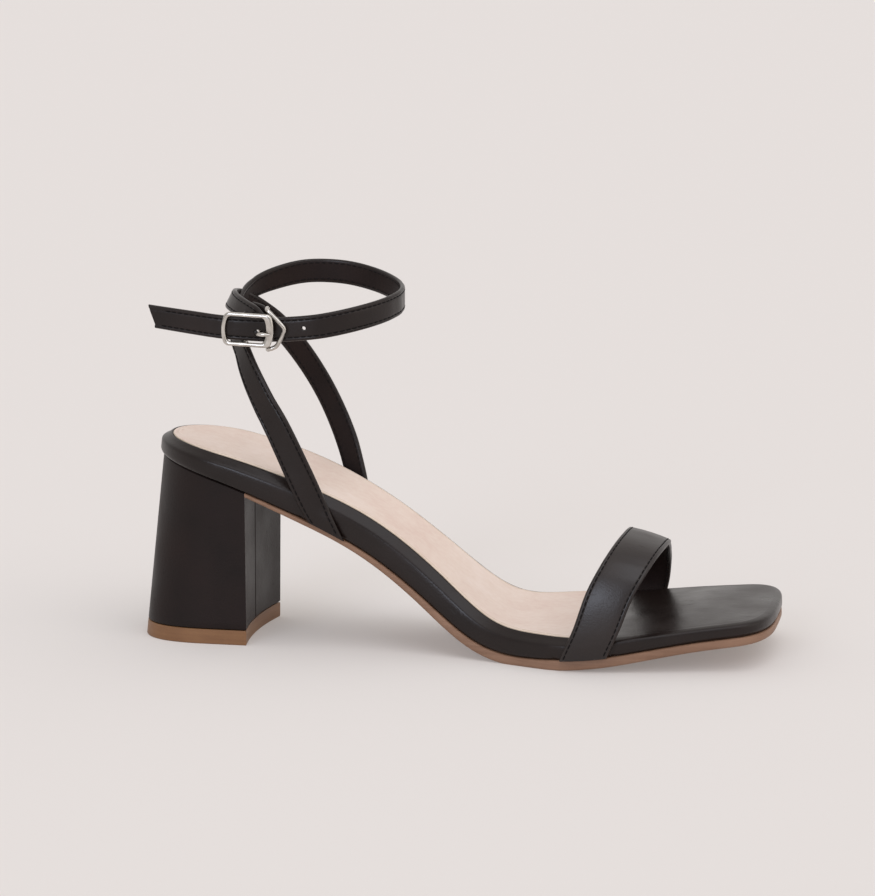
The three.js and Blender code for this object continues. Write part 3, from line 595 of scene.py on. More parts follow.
# Outsole: tan board from the breast to the toe, its lower edge eased and its tread lightly ruled
outsole = {
    "rows": 150,
    "cols": 28,
    "easedTop": (0.3, 0.25),                 # inset and depth of the eased upper edge
    "side": [(0.5, 0.0), (0.78, 0.08), (0.93, 0.35), (1.0, 0.8)],    # share of the thickness, inset
    "grooveInset": 3.6,
    "groove": [(-0.5, 0.0), (-0.2, 0.25), (0.2, 0.25), (0.5, 0.0)],  # place beside the inset, depth
}
soleStart = stationAt(last["breastTop"] + gap)


def hollowAt(across):
    return last["breastHollow"] * (1 - (2 * across - 1) ** 2)


def soleLayer(thickness, inset):
    def place(x, y, across, along):
        top = bedPoint(x, y, wallAt(x) + gap)
        point = bedPoint(x, y, wallAt(x) + gap + thickness(x))
        if along == 0:
            fall = 2 * point.z - top.z + thickness(x) * 0.8
            point = Vector((top.x - hollowAt(across), y, fall))
        point.z = max(point.z, 0)
        return point
    return layerGrid(soleStart, 1, outsole["rows"], outsole["cols"], inset, place)


def soleDepth(share, cut):
    return lambda x: soleAt(x) * share - cut


soleEdge = last["soleInset"]
treadEdge = soleEdge + outsole["grooveInset"]
easeInset, easeDepth = outsole["easedTop"]
soleRims = [soleLayer(fixed(easeDepth), soleEdge)]
soleRims += [soleLayer(soleDepth(share, 0.0), soleEdge + inset) for share, inset in outsole["side"]]
soleRims += [soleLayer(soleDepth(1.0, cut), treadEdge + aside) for aside, cut in outsole["groove"]]
solePiece = slab("outsole_board", soleLayer(fixed(0.0), soleEdge + easeInset), soleRims,
                 soleLayer(soleAt, treadEdge + 0.8), materials=[soleBoard], sharp=45)
finished(solePiece, "outsole", slot="outsole")
print("outsole made")


# Heel and top lift: straight sides from the seat to the floor outline, breast hollowed
heel = {
    "stations": 46,
    "levels": 26,
    "corner": 0.9,       # ease of the cover over the breast's corners
    "seamAt": 0.42,      # place of the cover's join across the breast
    "seamWidth": 0.007,
    "seamDepth": 0.35,
    "edge": 0.45,
}
breastPlaces = [i / 24 for i in range(25)]
for offset in (-3, -1.6, -0.9, 0.0, 0.9, 1.6, 3):
    breastPlaces.append(heel["seamAt"] + offset * heel["seamWidth"])
breastPlaces = sorted(set(breastPlaces))
heelTopEnd = stationAt(last["breastTop"])


def liftOutline(share, side):
    curved = 0.75
    if share < curved:
        angle = share / curved * math.pi / 2
        power = 2 / lift["squareness"]
        x = lift["round"] * (1 - math.cos(angle) ** power) - lift["flare"]
        turn = math.sin(angle) ** power
    else:
        front = lift["length"] - lift["flare"]
        x = mix(lift["round"] - lift["flare"], front, (share - curved) / (1 - curved))
        turn = 1.0
    return Vector((x, side * lift["width"] * turn / 2))


def heelLoop(seamDepth):
    # pairs of plan points round the heel: at the seat and at the floor
    pairs = []
    for side in (outerSide, innerSide):
        shares = [i / heel["stations"] for i in range(heel["stations"] + 1)]
        if side == innerSide:
            shares.reverse()
        run = [(insetOutline(heelTopEnd * s, side, last["heelInset"]), liftOutline(s, side)) for s in shares]
        if side == outerSide:
            pairs += run
            topRow = (run[-1][0], insetOutline(heelTopEnd, innerSide, last["heelInset"]))
            floorRow = (run[-1][1], liftOutline(1, innerSide))
            for across in breastPlaces[1:-1]:
                hollow = hollowAt(across)
                groove = seamDepth * hump(across, heel["seamAt"], heel["seamWidth"])
                back = Vector((hollow + groove, 0))
                pairs.append((topRow[0].lerp(topRow[1], across) - back,
                              floorRow[0].lerp(floorRow[1], across) - back))
        else:
            pairs += run[:-1]
    return pairs


heelPairs = heelLoop(heel["seamDepth"])
liftPairs = heelLoop(0.0)


def heelPoint(pair, height, shrink=0.0):
    # height is in mm, or None at the footbed's underside; shrink pulls the ring in
    top, floor = pair
    seat = bedPoint(top.x, top.y, wallAt(top.x) + gap)
    level = seat.z if height is None else height
    point = seat.lerp(Vector((floor.x, floor.y, 0)), (seat.z - level) / seat.z)
    centre = Vector((15.0, 0.0, point.z))
    inwards = centre - point
    inwards.z = 0
    return point + inwards.normalized() * shrink


heelFoot = lift["thickness"] + gap
edge = heel["edge"]
heelRings = [[heelPoint(p, None, edge) for p in heelPairs]]
heelRings.append([heelPoint(p, None) - Vector((0, 0, edge)) for p in heelPairs])
for i in range(1, heel["levels"]):
    share = i / heel["levels"]
    ring = []
    for p in heelPairs:
        seat = heelPoint(p, None).z - edge
        ring.append(heelPoint(p, mix(seat, heelFoot + edge, share)))
    heelRings.append(ring)
heelRings.append([heelPoint(p, heelFoot + edge) for p in heelPairs])
heelRings.append([heelPoint(p, heelFoot + edge * 0.3, edge * 0.3) for p in heelPairs])
heelRings.append([heelPoint(p, heelFoot, edge) for p in heelPairs])
heelPiece = skin("heel_cover", heelRings, materials=[heelLeather], sharp=35)
finished(heelPiece, "heel_block", slot="heel_block")

liftRings = []
for height, shrink in (
    (lift["thickness"], lift["topEase"]), (lift["thickness"] - lift["topEase"], 0.0),
    (lift["thickness"] * 0.5, 0.0), (lift["floorEase"], 0.0), (0.0, lift["floorEase"]),
):
    liftRings.append([heelPoint(p, height, shrink) for p in liftPairs])
liftPiece = skin("top_lift_tip", liftRings, materials=[liftBoard], sharp=35)
finished(liftPiece, "top_lift", slot="top_lift")
print("heel made")


# Curves: the same centripetal spline as the solids use
def centripetal(points, share, closed=False):
    count = len(points)
    place = (count if closed else count - 1) * share
    index = int(math.floor(place))
    weight = place - index
    if closed:
        index %= count
    elif weight == 0 and index == count - 1:
        index = count - 2
        weight = 1.0

    def at(i):
        if closed:
            return points[i % count]
        if i < 0:
            return points[0] * 2 - points[1]
        if i >= count:
            return points[-1] * 2 - points[-2]
        return points[i]

    p0, p1, p2, p3 = at(index - 1), at(index), at(index + 1), at(index + 2)
    t0, t1, t2 = (max((b - a).length, 1e-6) ** 0.5 for a, b in ((p0, p1), (p1, p2), (p2, p3)))
    m1 = ((p1 - p0) / t0 - (p2 - p0) / (t0 + t1) + (p2 - p1) / t1) * t1
    m2 = ((p2 - p1) / t1 - (p3 - p1) / (t1 + t2) + (p3 - p2) / t2) * t1
    c2 = -3 * p1 + 3 * p2 - 2 * m1 - m2
    c3 = 2 * p1 - 2 * p2 + m1 + m2
    return p1 + m1 * weight + c2 * weight ** 2 + c3 * weight ** 3


def tangentAt(points, share, closed=False):
    step = 0.0005
    low = share - step
    high = share + step
    if not closed:
        low = max(low, 0.0)
        high = min(high, 1.0)
    return (centripetal(points, high % 1 if closed else high, closed)
            - centripetal(points, low % 1 if closed else low, closed)).normalized()


# Straps, drawn through frames: a point with the directions across, along and out of the leather
strap = {
    "thickness": 1.8,
    "width": 8.6,
    "edge": 0.75,          # roll of the folded edge, measured across
    "stitchInset": 1.35,
    "channelDepth": 0.2,
    "channelWidth": 0.5,
    "pitch": 2.3,
    "liningInset": 0.9,
    "tuck": 0.75,          # how far the feet are pulled in, and rolled in at the very seam
    "roll": 0.4,
}
ankle = {"centre": 56.0, "length": 63.0, "width": 60.0, "rise": 70.6, "outerFoot": 65.8, "innerFoot": 66.5,
         "outerLean": 0.53, "innerLean": 0.16, "tailSkew": -0.52}
footRows = [(-0.93, 0.72), (0, 0.84), (0.81, 0.95)]   # height in strap widths, share of the foot's width
longRows = [  # along, across, rise, width, lean
    (0.04, -0.98, 0.255, 1.14, 0), (-0.23, -0.98, 0.51, 1.14, 0), (-0.4, -0.93, 0.637, 1.13, 0),
    (-0.58, -0.82, 0.779, 1.1, 4), (-0.71, -0.67, 0.892, 1.06, 8), (-0.85, -0.41, 0.99, 1, 14),
    (-0.91, 0, 1.07, 1, 20), (-0.86, 0.4, 1.125, 1, 20), (-0.68, 0.71, 1.166, 1, 12),
    (-0.34, 0.94, 1.2, 1, 4), (0.09, 1, 1.197, 1, 0), (0.49, 0.87, 1.168, 1, 0),
    (0.84, 0.49, 1.13, 1, 0), (0.965, 0, 1.108, 1, 0), (0.88, -0.42, 1.085, 1, 0),
    (0.63, -0.77, 1.056, 1, 0), (0.26, -0.96, 1.024, 1, 0), (-0.09, -1, 1.008, 1, 0),
    (-0.32, -1.02, 1.005, 1, 0), (-0.57, -1.06, 1.009, 0.98, 0), (-0.83, -1.075, 1.015, 0.96, 0),
    (-1.2, -1.01, 1.03, 0.95, 0), (-1.645, -0.93, 1.05, 0.92, 0),
]
shortRows = [
    (0.14, 0.93, 0.326, 1, 0), (-0.06, 0.97, 0.53, 0.93, 0), (-0.255, 0.96, 0.686, 0.92, 0),
    (-0.465, 0.89, 0.829, 0.93, 0), (-0.65, 0.765, 0.938, 0.93, 6), (-0.82, 0.577, 1.018, 0.92, 14),
    (-0.93, 0.3, 1.077, 0.9, 24), (-0.955, -0.033, 1.105, 0.88, 30), (-0.895, -0.35, 1.112, 0.86, 24),
    (-0.765, -0.615, 1.101, 0.83, 14), (-0.61, -0.8, 1.084, 0.8, 6), (-0.498, -0.903, 1.07, 0.77, 0),
    (-0.432, -0.957, 1.049, 0.74, 0),
]
ankleBase = wallFoot(ankle["outerFoot"])


def anklePath(rows, foot, side, lean):
    station = stationAt(foot)
    wall = outline(station, side)
    facing = wall - insetOutline(station, side, 1)
    path = []
    for share, narrow in footRows:
        up = share * strap["width"]
        point = Vector((foot - lean * up, wall.y + side * strap["thickness"] * 0.5, wallFoot(foot) + up))
        path.append({"point": point, "facing": Vector((facing.x, facing.y, 0)),
                     "width": rows[0][3] * narrow, "lean": 0})
    for along, across, rise, width, tilt in rows:
        x = ankle["centre"] + along * ankle["length"] / 2
        point = Vector((x, across * ankle["width"] / 2, ankleBase + rise * ankle["rise"]))
        path.append({"point": point, "facing": Vector((along, across, 0)).normalized(),
                     "width": width, "lean": tilt})
    return path


def strapFrames(path, steps, outwardSign):
    points = [row["point"] for row in path]
    frames = []
    for i in range(steps + 1):
        share = i / steps
        place = share * (len(path) - 1)
        row = min(int(place), len(path) - 2)
        part = place - row
        along = tangentAt(points, share)
        turned = (Vector((along.y, -along.x, 0)) * outwardSign).normalized()
        flat = smooth(math.hypot(along.x, along.y), 0.3, 0.7)
        level = path[row]["facing"].lerp(path[row + 1]["facing"], part).lerp(turned, flat)
        level = (level - along * level.dot(along)).normalized()
        upright = level.cross(along).normalized()
        lean = math.radians(mix(path[row]["lean"], path[row + 1]["lean"], part)) * math.copysign(1, upright.z)
        across = upright * math.cos(lean) - level * math.sin(lean)
        out = level * math.cos(lean) + upright * math.sin(lean)
        width = strap["width"] * mix(path[row]["width"], path[row + 1]["width"], part)
        frames.append({"point": centripetal(points, share), "across": across, "out": out, "along": along,
                       "width": width, "skew": 0.0, "crease": 0.0})
    return frames


def strapSection(half, crown):
    # closed profile of a folded strap: rolled edges, a stitch channel inside each, flat lining.
    # Each corner carries 1 where it lies on the lining.
    edge = strap["edge"]
    thick = strap["thickness"] / 2
    profile = []
    for k in range(7):
        angle = math.pi / 2 * (1 - k / 6)
        profile.append((half - edge + edge * math.cos(angle), thick * math.sin(angle), 0))
    for k in range(1, 7):
        angle = -math.pi / 2 * k / 6
        profile.append((half - edge + edge * math.cos(angle), thick * math.sin(angle) * 0.92, 0))
    lining = half - strap["liningInset"]
    profile.append((lining + 0.08, -thick * 0.92, 0))
    profile.append((lining, -thick, 1))
    for k in range(1, 8):
        profile.append((mix(lining, -lining, k / 8), -thick, 1))
    profile.append((-lining, -thick, 1))
    profile.append((-lining - 0.08, -thick * 0.92, 0))
    for k in range(7):
        angle = -math.pi / 2 * (1 - k / 6)
        profile.append((-half + edge - edge * math.cos(angle), thick * math.sin(angle) * 0.92, 0))
    for k in range(1, 7):
        angle = math.pi / 2 * k / 6
        profile.append((-half + edge - edge * math.cos(angle), thick * math.sin(angle), 0))
    face = half - edge
    channel = half - strap["stitchInset"]
    spots = sorted({-channel + d for d in (-0.35, -0.15, 0, 0.15, 0.35, 0.6)}
                   | {channel + d for d in (-0.6, -0.35, -0.15, 0, 0.15, 0.35)}
                   | {face * k / 5 for k in (-2.4, -1.2, 0, 1.2, 2.4)})
    for across in spots:
        if abs(across) < face:
            profile.append((across, thick, 0))
    shaped = []
    for across, out, lined in profile:
        bulge = crown * (1 - (across / half) ** 2)
        if out > thick * 0.8:
            bulge += 0.1 * (1 - (across / half) ** 4)
            for side in (-1, 1):
                bulge -= strap["channelDepth"] * hump(across, side * channel, strap["channelWidth"] / 2)
        shaped.append((across, out + bulge, lined))
    return shaped


def tucked(point):
    # a strap's foot is pulled in against the wall and rolls under it at the sole seam
    if point.z > 60 or abs(point.y) < 12:
        return point
    above = point.z - wallFoot(point.x)
    if above > 6:
        return point
    pull = strap["tuck"] * (1 - smooth(above, 0, 5)) + strap["roll"] * (1 - smooth(above, -0.2, 0.8))
    return Vector((point.x, point.y - math.copysign(pull, point.y), point.z))


def press(frames, creases):
    # soft cross creases where the leather has been bent: share of the path, depth, half width
    for index, at in enumerate(frames):
        share = index / (len(frames) - 1)
        at["crease"] = sum(depth * hump(share, place, width) for place, depth, width in creases)


def onStrap(at, across, out):
    if out > 0:
        out -= at["crease"]
    point = at["point"] + at["across"] * across + at["out"] * out
    return tucked(point + at["along"] * across * at["skew"])


def ribbon(name, frames, face, crown=0.0):
    # strap through its frames, with the lining on its inner side
    rings = []
    for at in frames:
        section = strapSection(at["width"] / 2, crown)
        rings.append([onStrap(at, across, out) for across, out, lined in section])
    lined = [corner[2] for corner in section]
    count = len(lined)
    around = [lined[j] * lined[(j + 1) % count] for j in range(count)]
    faceMaterial = around * (len(rings) - 1) + [0] * (2 * count)
    return skin(name, rings, middles=[at["point"] for at in frames], materials=[face, liningLeather],
                faceMaterial=faceMaterial, sharp=50)


def trimFeet(piece):
    # cut along the sole seam: the seam is laid flat, everything below it goes, and it is bent back
    def seamAt(vertex):
        return (wallFoot(vertex.co.x * 1000 - backToOrigin) - 0.2) / 1000

    work = bmesh.new()
    work.from_mesh(piece.data)
    for vertex in work.verts:
        vertex.co.z -= seamAt(vertex)
    everything = work.verts[:] + work.edges[:] + work.faces[:]
    cut = bmesh.ops.bisect_plane(work, geom=everything, plane_co=(0, 0, 0), plane_no=(0, 0, 1),
                                 clear_inner=True)
    rims = [edge for edge in cut["geom_cut"] if isinstance(edge, bmesh.types.BMEdge)]
    bmesh.ops.holes_fill(work, edges=rims, sides=0)
    for vertex in work.verts:
        vertex.co.z += seamAt(vertex)
    work.to_mesh(piece.data)
    work.free()


longPath = anklePath(longRows, ankle["outerFoot"], outerSide, ankle["outerLean"])
shortPath = anklePath(shortRows, ankle["innerFoot"], innerSide, ankle["innerLean"])
longFrames = strapFrames(longPath, 300, -1)
longFrames[-1]["skew"] = ankle["tailSkew"]
shortFrames = strapFrames(shortPath, 170, 1)
press(longFrames, [(0.18, 0.1, 0.006), (0.345, 0.16, 0.005), (0.375, 0.2, 0.004), (0.405, 0.14, 0.006),
                   (0.61, 0.12, 0.006), (0.64, 0.16, 0.005), (0.665, 0.1, 0.006), (0.8, 0.08, 0.004),
                   (0.9, 0.12, 0.005), (0.93, 0.1, 0.004)])
press(shortFrames, [(0.5, 0.14, 0.012), (0.56, 0.12, 0.01), (0.64, 0.16, 0.01)])

# The short strap's end folds round the ring's bar and lies back behind itself
ringWire = 1.5
fold = {"radius": ringWire / 2 + gap + strap["thickness"] / 2, "steps": 18, "lap": 7.0}
foldStart = shortFrames[-1]
ringBar = foldStart["point"] - foldStart["out"] * fold["radius"]
foldFrames = []
for i in range(1, fold["steps"] + 1):
    turn = math.pi * i / fold["steps"]
    out = foldStart["out"] * math.cos(turn) + foldStart["along"] * math.sin(turn)
    foldFrames.append({**foldStart, "out": out, "point": ringBar + out * fold["radius"]})
laid = 0.0
index = len(shortFrames) - 2
while laid < fold["lap"]:
    at = shortFrames[index]
    laid += (at["point"] - shortFrames[index + 1]["point"]).length
    behind = mix(2 * fold["radius"], strap["thickness"] * 0.95, min(laid / fold["lap"], 1))
    foldFrames.append({**at, "out": -at["out"], "point": at["point"] - at["out"] * behind})
    index -= 1
shortFrames += foldFrames

longPiece = ribbon("ankle_strap_long", longFrames, blackLeather)
shortPiece = ribbon("ankle_strap_short", shortFrames, blackLeather)
trimFeet(longPiece)
trimFeet(shortPiece)

# Toe strap
toe = {"width": 15.8, "rise": 33.9, "crown": 0.4, "steps": 150}
toeRows = [  # along, across, rise, dip of the front edge
    (0.71, -1, -0.148, 0), (0.717, -1, 0, 0), (0.738, -1.02, 0.297, 0.02),
    (0.757, -0.985, 0.628, 0.16), (0.775, -0.9, 0.843, 0.2),
    (0.789, -0.71, 0.977, 0.22), (0.796, -0.38, 1.017, 0.26), (0.794, -0.05, 0.982, 0.28),
    (0.785, 0.33, 0.884, 0.28), (0.778, 0.66, 0.738, 0.24), (0.772, 0.89, 0.532, 0.16),
    (0.765, 1, 0.25, 0.02), (0.755, 1, 0, 0), (0.75, 1, -0.148, 0),
]


def toeFrames(steps):
    points = []
    dips = []
    for along, across, rise, dip in toeRows:
        x = along * last["length"]
        side = outerSide if across < 0 else innerSide
        wall = abs(outline(stationAt(x), side).y) + strap["thickness"] / 2
        points.append(Vector((x, across * wall, wallFoot(x) + rise * toe["rise"])))
        dips.append(dip)
    frames = []
    for i in range(steps + 1):
        share = i / steps
        place = share * (len(dips) - 1)
        row = min(int(place), len(dips) - 2)
        dip = mix(dips[row], dips[row + 1], place - row)
        along = tangentAt(points, share)
        across = Vector((1, 0, -dip)).normalized()
        out = across.cross(along).normalized()
        frames.append({"point": centripetal(points, share), "across": across, "out": out, "along": along,
                       "width": toe["width"], "skew": 0.0, "crease": 0.0})
    return frames


toeStrapFrames = toeFrames(toe["steps"])
press(toeStrapFrames, [(0.3, 0.12, 0.012), (0.34, 0.1, 0.008), (0.52, 0.1, 0.02), (0.7, 0.12, 0.012)])
toePiece = ribbon("toe_strap_band", toeStrapFrames, paintedLighterBandLeather, crown=toe["crown"])
trimFeet(toePiece)
finished(toePiece, "toe_strap", slot="toe_strap")
print("straps made")


# Ring, buckle frame and prong: swept round sections
def sweep(name, points, radiusAt, count, closed=False, upHint=Vector((0, 0, 1))):
    sides = 16
    rings = []
    side = None
    for i in range(count if closed else count + 1):
        share = i / count
        centre = centripetal(points, share, closed)
        along = tangentAt(points, share, closed)
        if side is None:
            side = along.cross(upHint).normalized()
        side = (side - along * side.dot(along)).normalized()
        up = side.cross(along).normalized()
        radius = radiusAt(share)
        ring = []
        for k in range(sides):
            angle = 2 * math.pi * k / sides
            ring.append(centre + side * math.cos(angle) * radius + up * math.sin(angle) * radius)
        rings.append(ring)
    return skin(name, rings, closed, materials=[nickelPlate], sharp=60)


def bentWire(corners, radius, closed):
    points = []
    for i, corner in enumerate(corners):
        before = corners[i - 1]
        after = corners[(i + 1) % len(corners)]
        if not closed and i in (0, len(corners) - 1):
            points.append(corner)
            continue
        enter = corner + (before - corner).normalized() * radius
        leave = corner + (after - corner).normalized() * radius
        for k in range(5):
            t = k / 4
            points.append(enter * (1 - t) ** 2 + corner * 2 * t * (1 - t) + leave * t * t)
    return points


ringRows = [  # along, outwards, rise, in shares of the strap's width and of the ring's stand
    (0.06, 1, -0.03), (0.83, 1, -0.8), (0.46, 1, -1.53), (0.08, 1, -1.66), (0.02, 0, -1.63),
]
ring = {"above": 0.57, "below": 0.55, "stand": 4.0, "bend": 1.5}
ringUp = ringBar + foldStart["across"] * ring["above"] * strap["width"]
ringDown = ringBar - foldStart["across"] * ring["below"] * strap["width"]
ringCorners = [ringDown, ringUp]
for along, out, rise in ringRows:
    step = Vector((along * strap["width"], -out * ring["stand"], rise * strap["width"]))
    ringCorners.append(ringUp + step)
ringPiece = sweep("strap_ring_wire", bentWire(ringCorners, ring["bend"], True), fixed(ringWire / 2), 150,
                  closed=True)
finished(ringPiece, "strap_ring", slot="strap_ring")

buckle = {"length": 18.6, "height": 11.7, "bar": 1.5, "endBar": 2.7, "thickness": 1.6, "corner": 2.2,
          "swing": 0.32, "tilt": 2.5, "pin": 1.2, "pinBack": 2.0, "pinDrop": 6.4, "pinBend": 1.0,
          "prong": 1.5, "prongBelow": 1.0, "prongExit": 3.0,
          "place": (-0.52, -1.15, 1.007)}   # along, across, rise, in shares of the ankle's sizes
framePlace = buckle["place"]
frameCentre = Vector((ankle["centre"] + framePlace[0] * ankle["length"] / 2,
                      framePlace[1] * ankle["width"] / 2, ankleBase + framePlace[2] * ankle["rise"]))


def seated(x, y, z):
    # from the frame's own lengths, X along the strap and -Y outwards, to its place on the shoe
    tilt = math.radians(buckle["tilt"])
    return frameCentre + Vector((x * math.cos(tilt) + z * math.sin(tilt), y,
                                 z * math.cos(tilt) - x * math.sin(tilt)))


def bowedOutline(left, right, half, corner, perCorner=12, perSide=16):
    # rounded outline with bowed ends
    swing = buckle["swing"]
    tall = half - corner
    meet = tall + corner * math.sin(swing)
    bow = math.tan(swing) * meet / 2
    reach = corner * math.cos(swing)
    points = []

    def arc(cx, cy, start, end):
        for k in range(perCorner + 1):
            angle = mix(start, end, k / perCorner)
            points.append(Vector((cx + corner * math.cos(angle), cy + corner * math.sin(angle))))

    def run(a, control, b):
        for k in range(1, perSide):
            t = k / perSide
            points.append(a * (1 - t) ** 2 + control * 2 * t * (1 - t) + b * t * t)

    front = right - bow
    rear = left + bow
    arc(front - reach, -tall, -math.pi / 2, -swing)
    run(Vector((front, -meet)), Vector((right + bow, 0)), Vector((front, meet)))
    arc(front - reach, tall, swing, math.pi / 2)
    run(Vector((front - reach, half)), Vector(((front + rear) / 2, half)), Vector((rear + reach, half)))
    arc(rear + reach, tall, math.pi / 2, math.pi - swing)
    run(Vector((rear, meet)), Vector((left - bow, 0)), Vector((rear, -meet)))
    arc(rear + reach, -tall, math.pi + swing, 1.5 * math.pi)
    run(Vector((rear + reach, -half)), Vector(((front + rear) / 2, -half)), Vector((front - reach, -half)))
    return points


def buckleFrame():
    half = buckle["length"] / 2
    tall = buckle["height"] / 2
    outer = bowedOutline(-half, half, tall, buckle["corner"])
    inner = bowedOutline(-half + buckle["bar"], half - buckle["endBar"], tall - buckle["bar"],
                         buckle["corner"] - buckle["bar"] / 2)
    sides = 18
    rings = []
    for o, i in zip(outer, inner):
        middle = (o + i) / 2
        reach = (o - i) / 2
        ring = []
        for k in range(sides):
            angle = 2 * math.pi * k / sides
            wide = math.copysign(abs(math.cos(angle)) ** 0.9, math.cos(angle))
            deep = math.copysign(abs(math.sin(angle)) ** 0.9, math.sin(angle)) * buckle["thickness"] / 2
            flat = middle + reach * wide
            ring.append(seated(flat.x, deep, flat.y))
        rings.append(ring)
    return skin("buckle_frame_plate", rings, True, materials=[nickelPlate], sharp=60)


framePiece = buckleFrame()
finished(framePiece, "buckle_frame", slot="buckle_frame")

eyeRadius = buckle["pin"] / 2 + gap + buckle["prong"] / 2
pinHalf = max(buckle["height"] / 2 - buckle["bar"] / 2, strap["width"] / 2 + gap + buckle["pin"] / 2)
pinCorners = [seated(-buckle["pinBack"], depth, rise) for depth, rise in
              ((0, -pinHalf), (buckle["pinDrop"], -pinHalf), (buckle["pinDrop"], pinHalf), (0, pinHalf))]
pinPiece = sweep("buckle_pin", bentWire(pinCorners, buckle["pinBend"], False), fixed(buckle["pin"] / 2), 80,
                 upHint=Vector((1, 0, 0)))
finished(pinPiece, slot="buckle_frame")

prongPoints = []
for i in range(11):
    angle = math.radians(mix(-20, -250, i / 10))
    prongPoints.append(seated(-buckle["pinBack"] + eyeRadius * math.cos(angle),
                              buckle["pinDrop"] - eyeRadius * math.sin(angle), -buckle["prongBelow"]))
prongInner = buckle["pinDrop"] - eyeRadius
prongOuter = -buckle["thickness"] / 2 - gap - buckle["prong"] / 2
for share, out in ((0.06, -0.06), (0.15, 0.52), (0.24, 0.93), (0.34, 1), (0.475, 1)):
    depth = mix(prongInner, prongOuter, out)
    prongPoints.append(seated(share * buckle["length"], depth, -buckle["prongBelow"]))


def prongRadius(share):
    # the tip tapers and is rounded off
    return buckle["prong"] / 2 * min(1.0, 0.3 + 10 * (1 - share)) * min(1.0, 0.4 + 20 * share)


prongPiece = sweep("buckle_prong_pin", prongPoints, prongRadius, 90)
finished(prongPiece, "buckle_prong", slot="buckle_prong")
print("buckle made")


# Holes punched through the long strap: one open, one that the prong comes through
holes = {"free": (58.1, 0.7, 1.0), "prong": (42.9, 0.95, 1.5),   # place, radius, stretch along the strap
         "loopBottom": 105.0, "cutterReach": 2.5}


def nearFrame(x):
    # the frame nearest a place, in the outer run of the long strap's loop
    near = [at for at in longFrames
            if at["point"].y < 0 and at["along"].x < 0 and at["point"].z > holes["loopBottom"]]
    return min(near, key=lambda at: abs(at["point"].x - x))


def punch(piece, at, shift, radius, stretch):
    rings = []
    for depth in (-holes["cutterReach"], holes["cutterReach"]):
        ring = []
        for k in range(20):
            angle = math.pi * k / 10
            offset = at["along"] * math.cos(angle) * radius * stretch
            offset += at["across"] * (math.sin(angle) * radius + shift)
            ring.append(at["point"] + offset + at["out"] * depth)
        rings.append(ring)
    cutter = skin("hole_cutter", rings)
    cut = piece.modifiers.new("hole", "BOOLEAN")
    cut.operation = "DIFFERENCE"
    cut.solver = "EXACT"
    cut.object = cutter
    graph = bpy.context.evaluated_depsgraph_get()
    mesh = bpy.data.meshes.new_from_object(piece.evaluated_get(graph))
    piece.modifiers.clear()
    piece.data = mesh
    bpy.data.objects.remove(cutter)


freePlace, *freeSize = holes["free"]
prongPlace, *prongSize = holes["prong"]
prongFrame = nearFrame(prongPlace)
prongHeight = seated(buckle["prongExit"], 0, -buckle["prongBelow"]).z
prongShift = (prongHeight - prongFrame["point"].z) / prongFrame["across"].z
punch(longPiece, nearFrame(freePlace), 0.0, *freeSize)
punch(longPiece, prongFrame, prongShift, *prongSize)
finished(longPiece, "ankle_straps", slot="ankle_straps")
finished(shortPiece, "ankle_straps", slot="ankle_straps")
print("holes punched")


# Stitches: a short slightly sunk capsule on every point of a sewing line
stitch = {"length": 1.95, "thickness": 0.42, "sink": 0.03, "clearOfSeam": 0.6, "slant": 0.06}


def stitchTree():
    tree = bpy.data.node_groups.new("sewing_line", "GeometryNodeTree")
    tree.is_modifier = True
    for name, kind in (("Geometry", "Geometry"), ("Stitch Length", "Float"), ("Thread Thickness", "Float"),
                       ("Slant Seed", "Int"), ("Thread", "Material")):
        tree.interface.new_socket(name, in_out="INPUT", socket_type="NodeSocket" + kind)
    tree.interface.new_socket("Geometry", in_out="OUTPUT", socket_type="NodeSocketGeometry")
    given = addNode(tree, "NodeGroupInput").outputs
    along = addNode(tree, "GeometryNodeInputNamedAttribute", {"Name": "sewAlong"}, data_type="FLOAT_VECTOR")
    outward = addNode(tree, "GeometryNodeInputNamedAttribute", {"Name": "sewOut"}, data_type="FLOAT_VECTOR")
    lay = addNode(tree, "FunctionNodeAxesToRotation", {"Primary Axis": along, "Secondary Axis": outward},
                  primary_axis="X", secondary_axis="Z")
    slant = addNode(tree, "FunctionNodeRandomValue",
                    {"Min": -stitch["slant"], "Max": stitch["slant"], "Seed": given["Slant Seed"]},
                    data_type="FLOAT")
    twist = addNode(tree, "ShaderNodeCombineXYZ", {"Z": slant.outputs[1]})
    turn = addNode(tree, "FunctionNodeRotateRotation", {"Rotation": lay, "Rotate By": twist},
                   rotation_space="LOCAL")
    bead = addNode(tree, "GeometryNodeMeshUVSphere", {"Segments": 8, "Rings": 6, "Radius": 0.5})
    thick = given["Thread Thickness"]
    size = addNode(tree, "ShaderNodeCombineXYZ", {"X": given["Stitch Length"], "Y": thick, "Z": thick})
    placed = addNode(tree, "GeometryNodeInstanceOnPoints",
                     {"Points": given["Geometry"], "Instance": bead, "Rotation": turn, "Scale": size})
    real = addNode(tree, "GeometryNodeRealizeInstances", {"Geometry": placed})
    shaded = addNode(tree, "GeometryNodeSetShadeSmooth", {"Geometry": real})
    painted = addNode(tree, "GeometryNodeSetMaterial", {"Geometry": shaded, "Material": given["Thread"]})
    addNode(tree, "NodeGroupOutput", {"Geometry": painted})
    return tree


sewing = stitchTree()


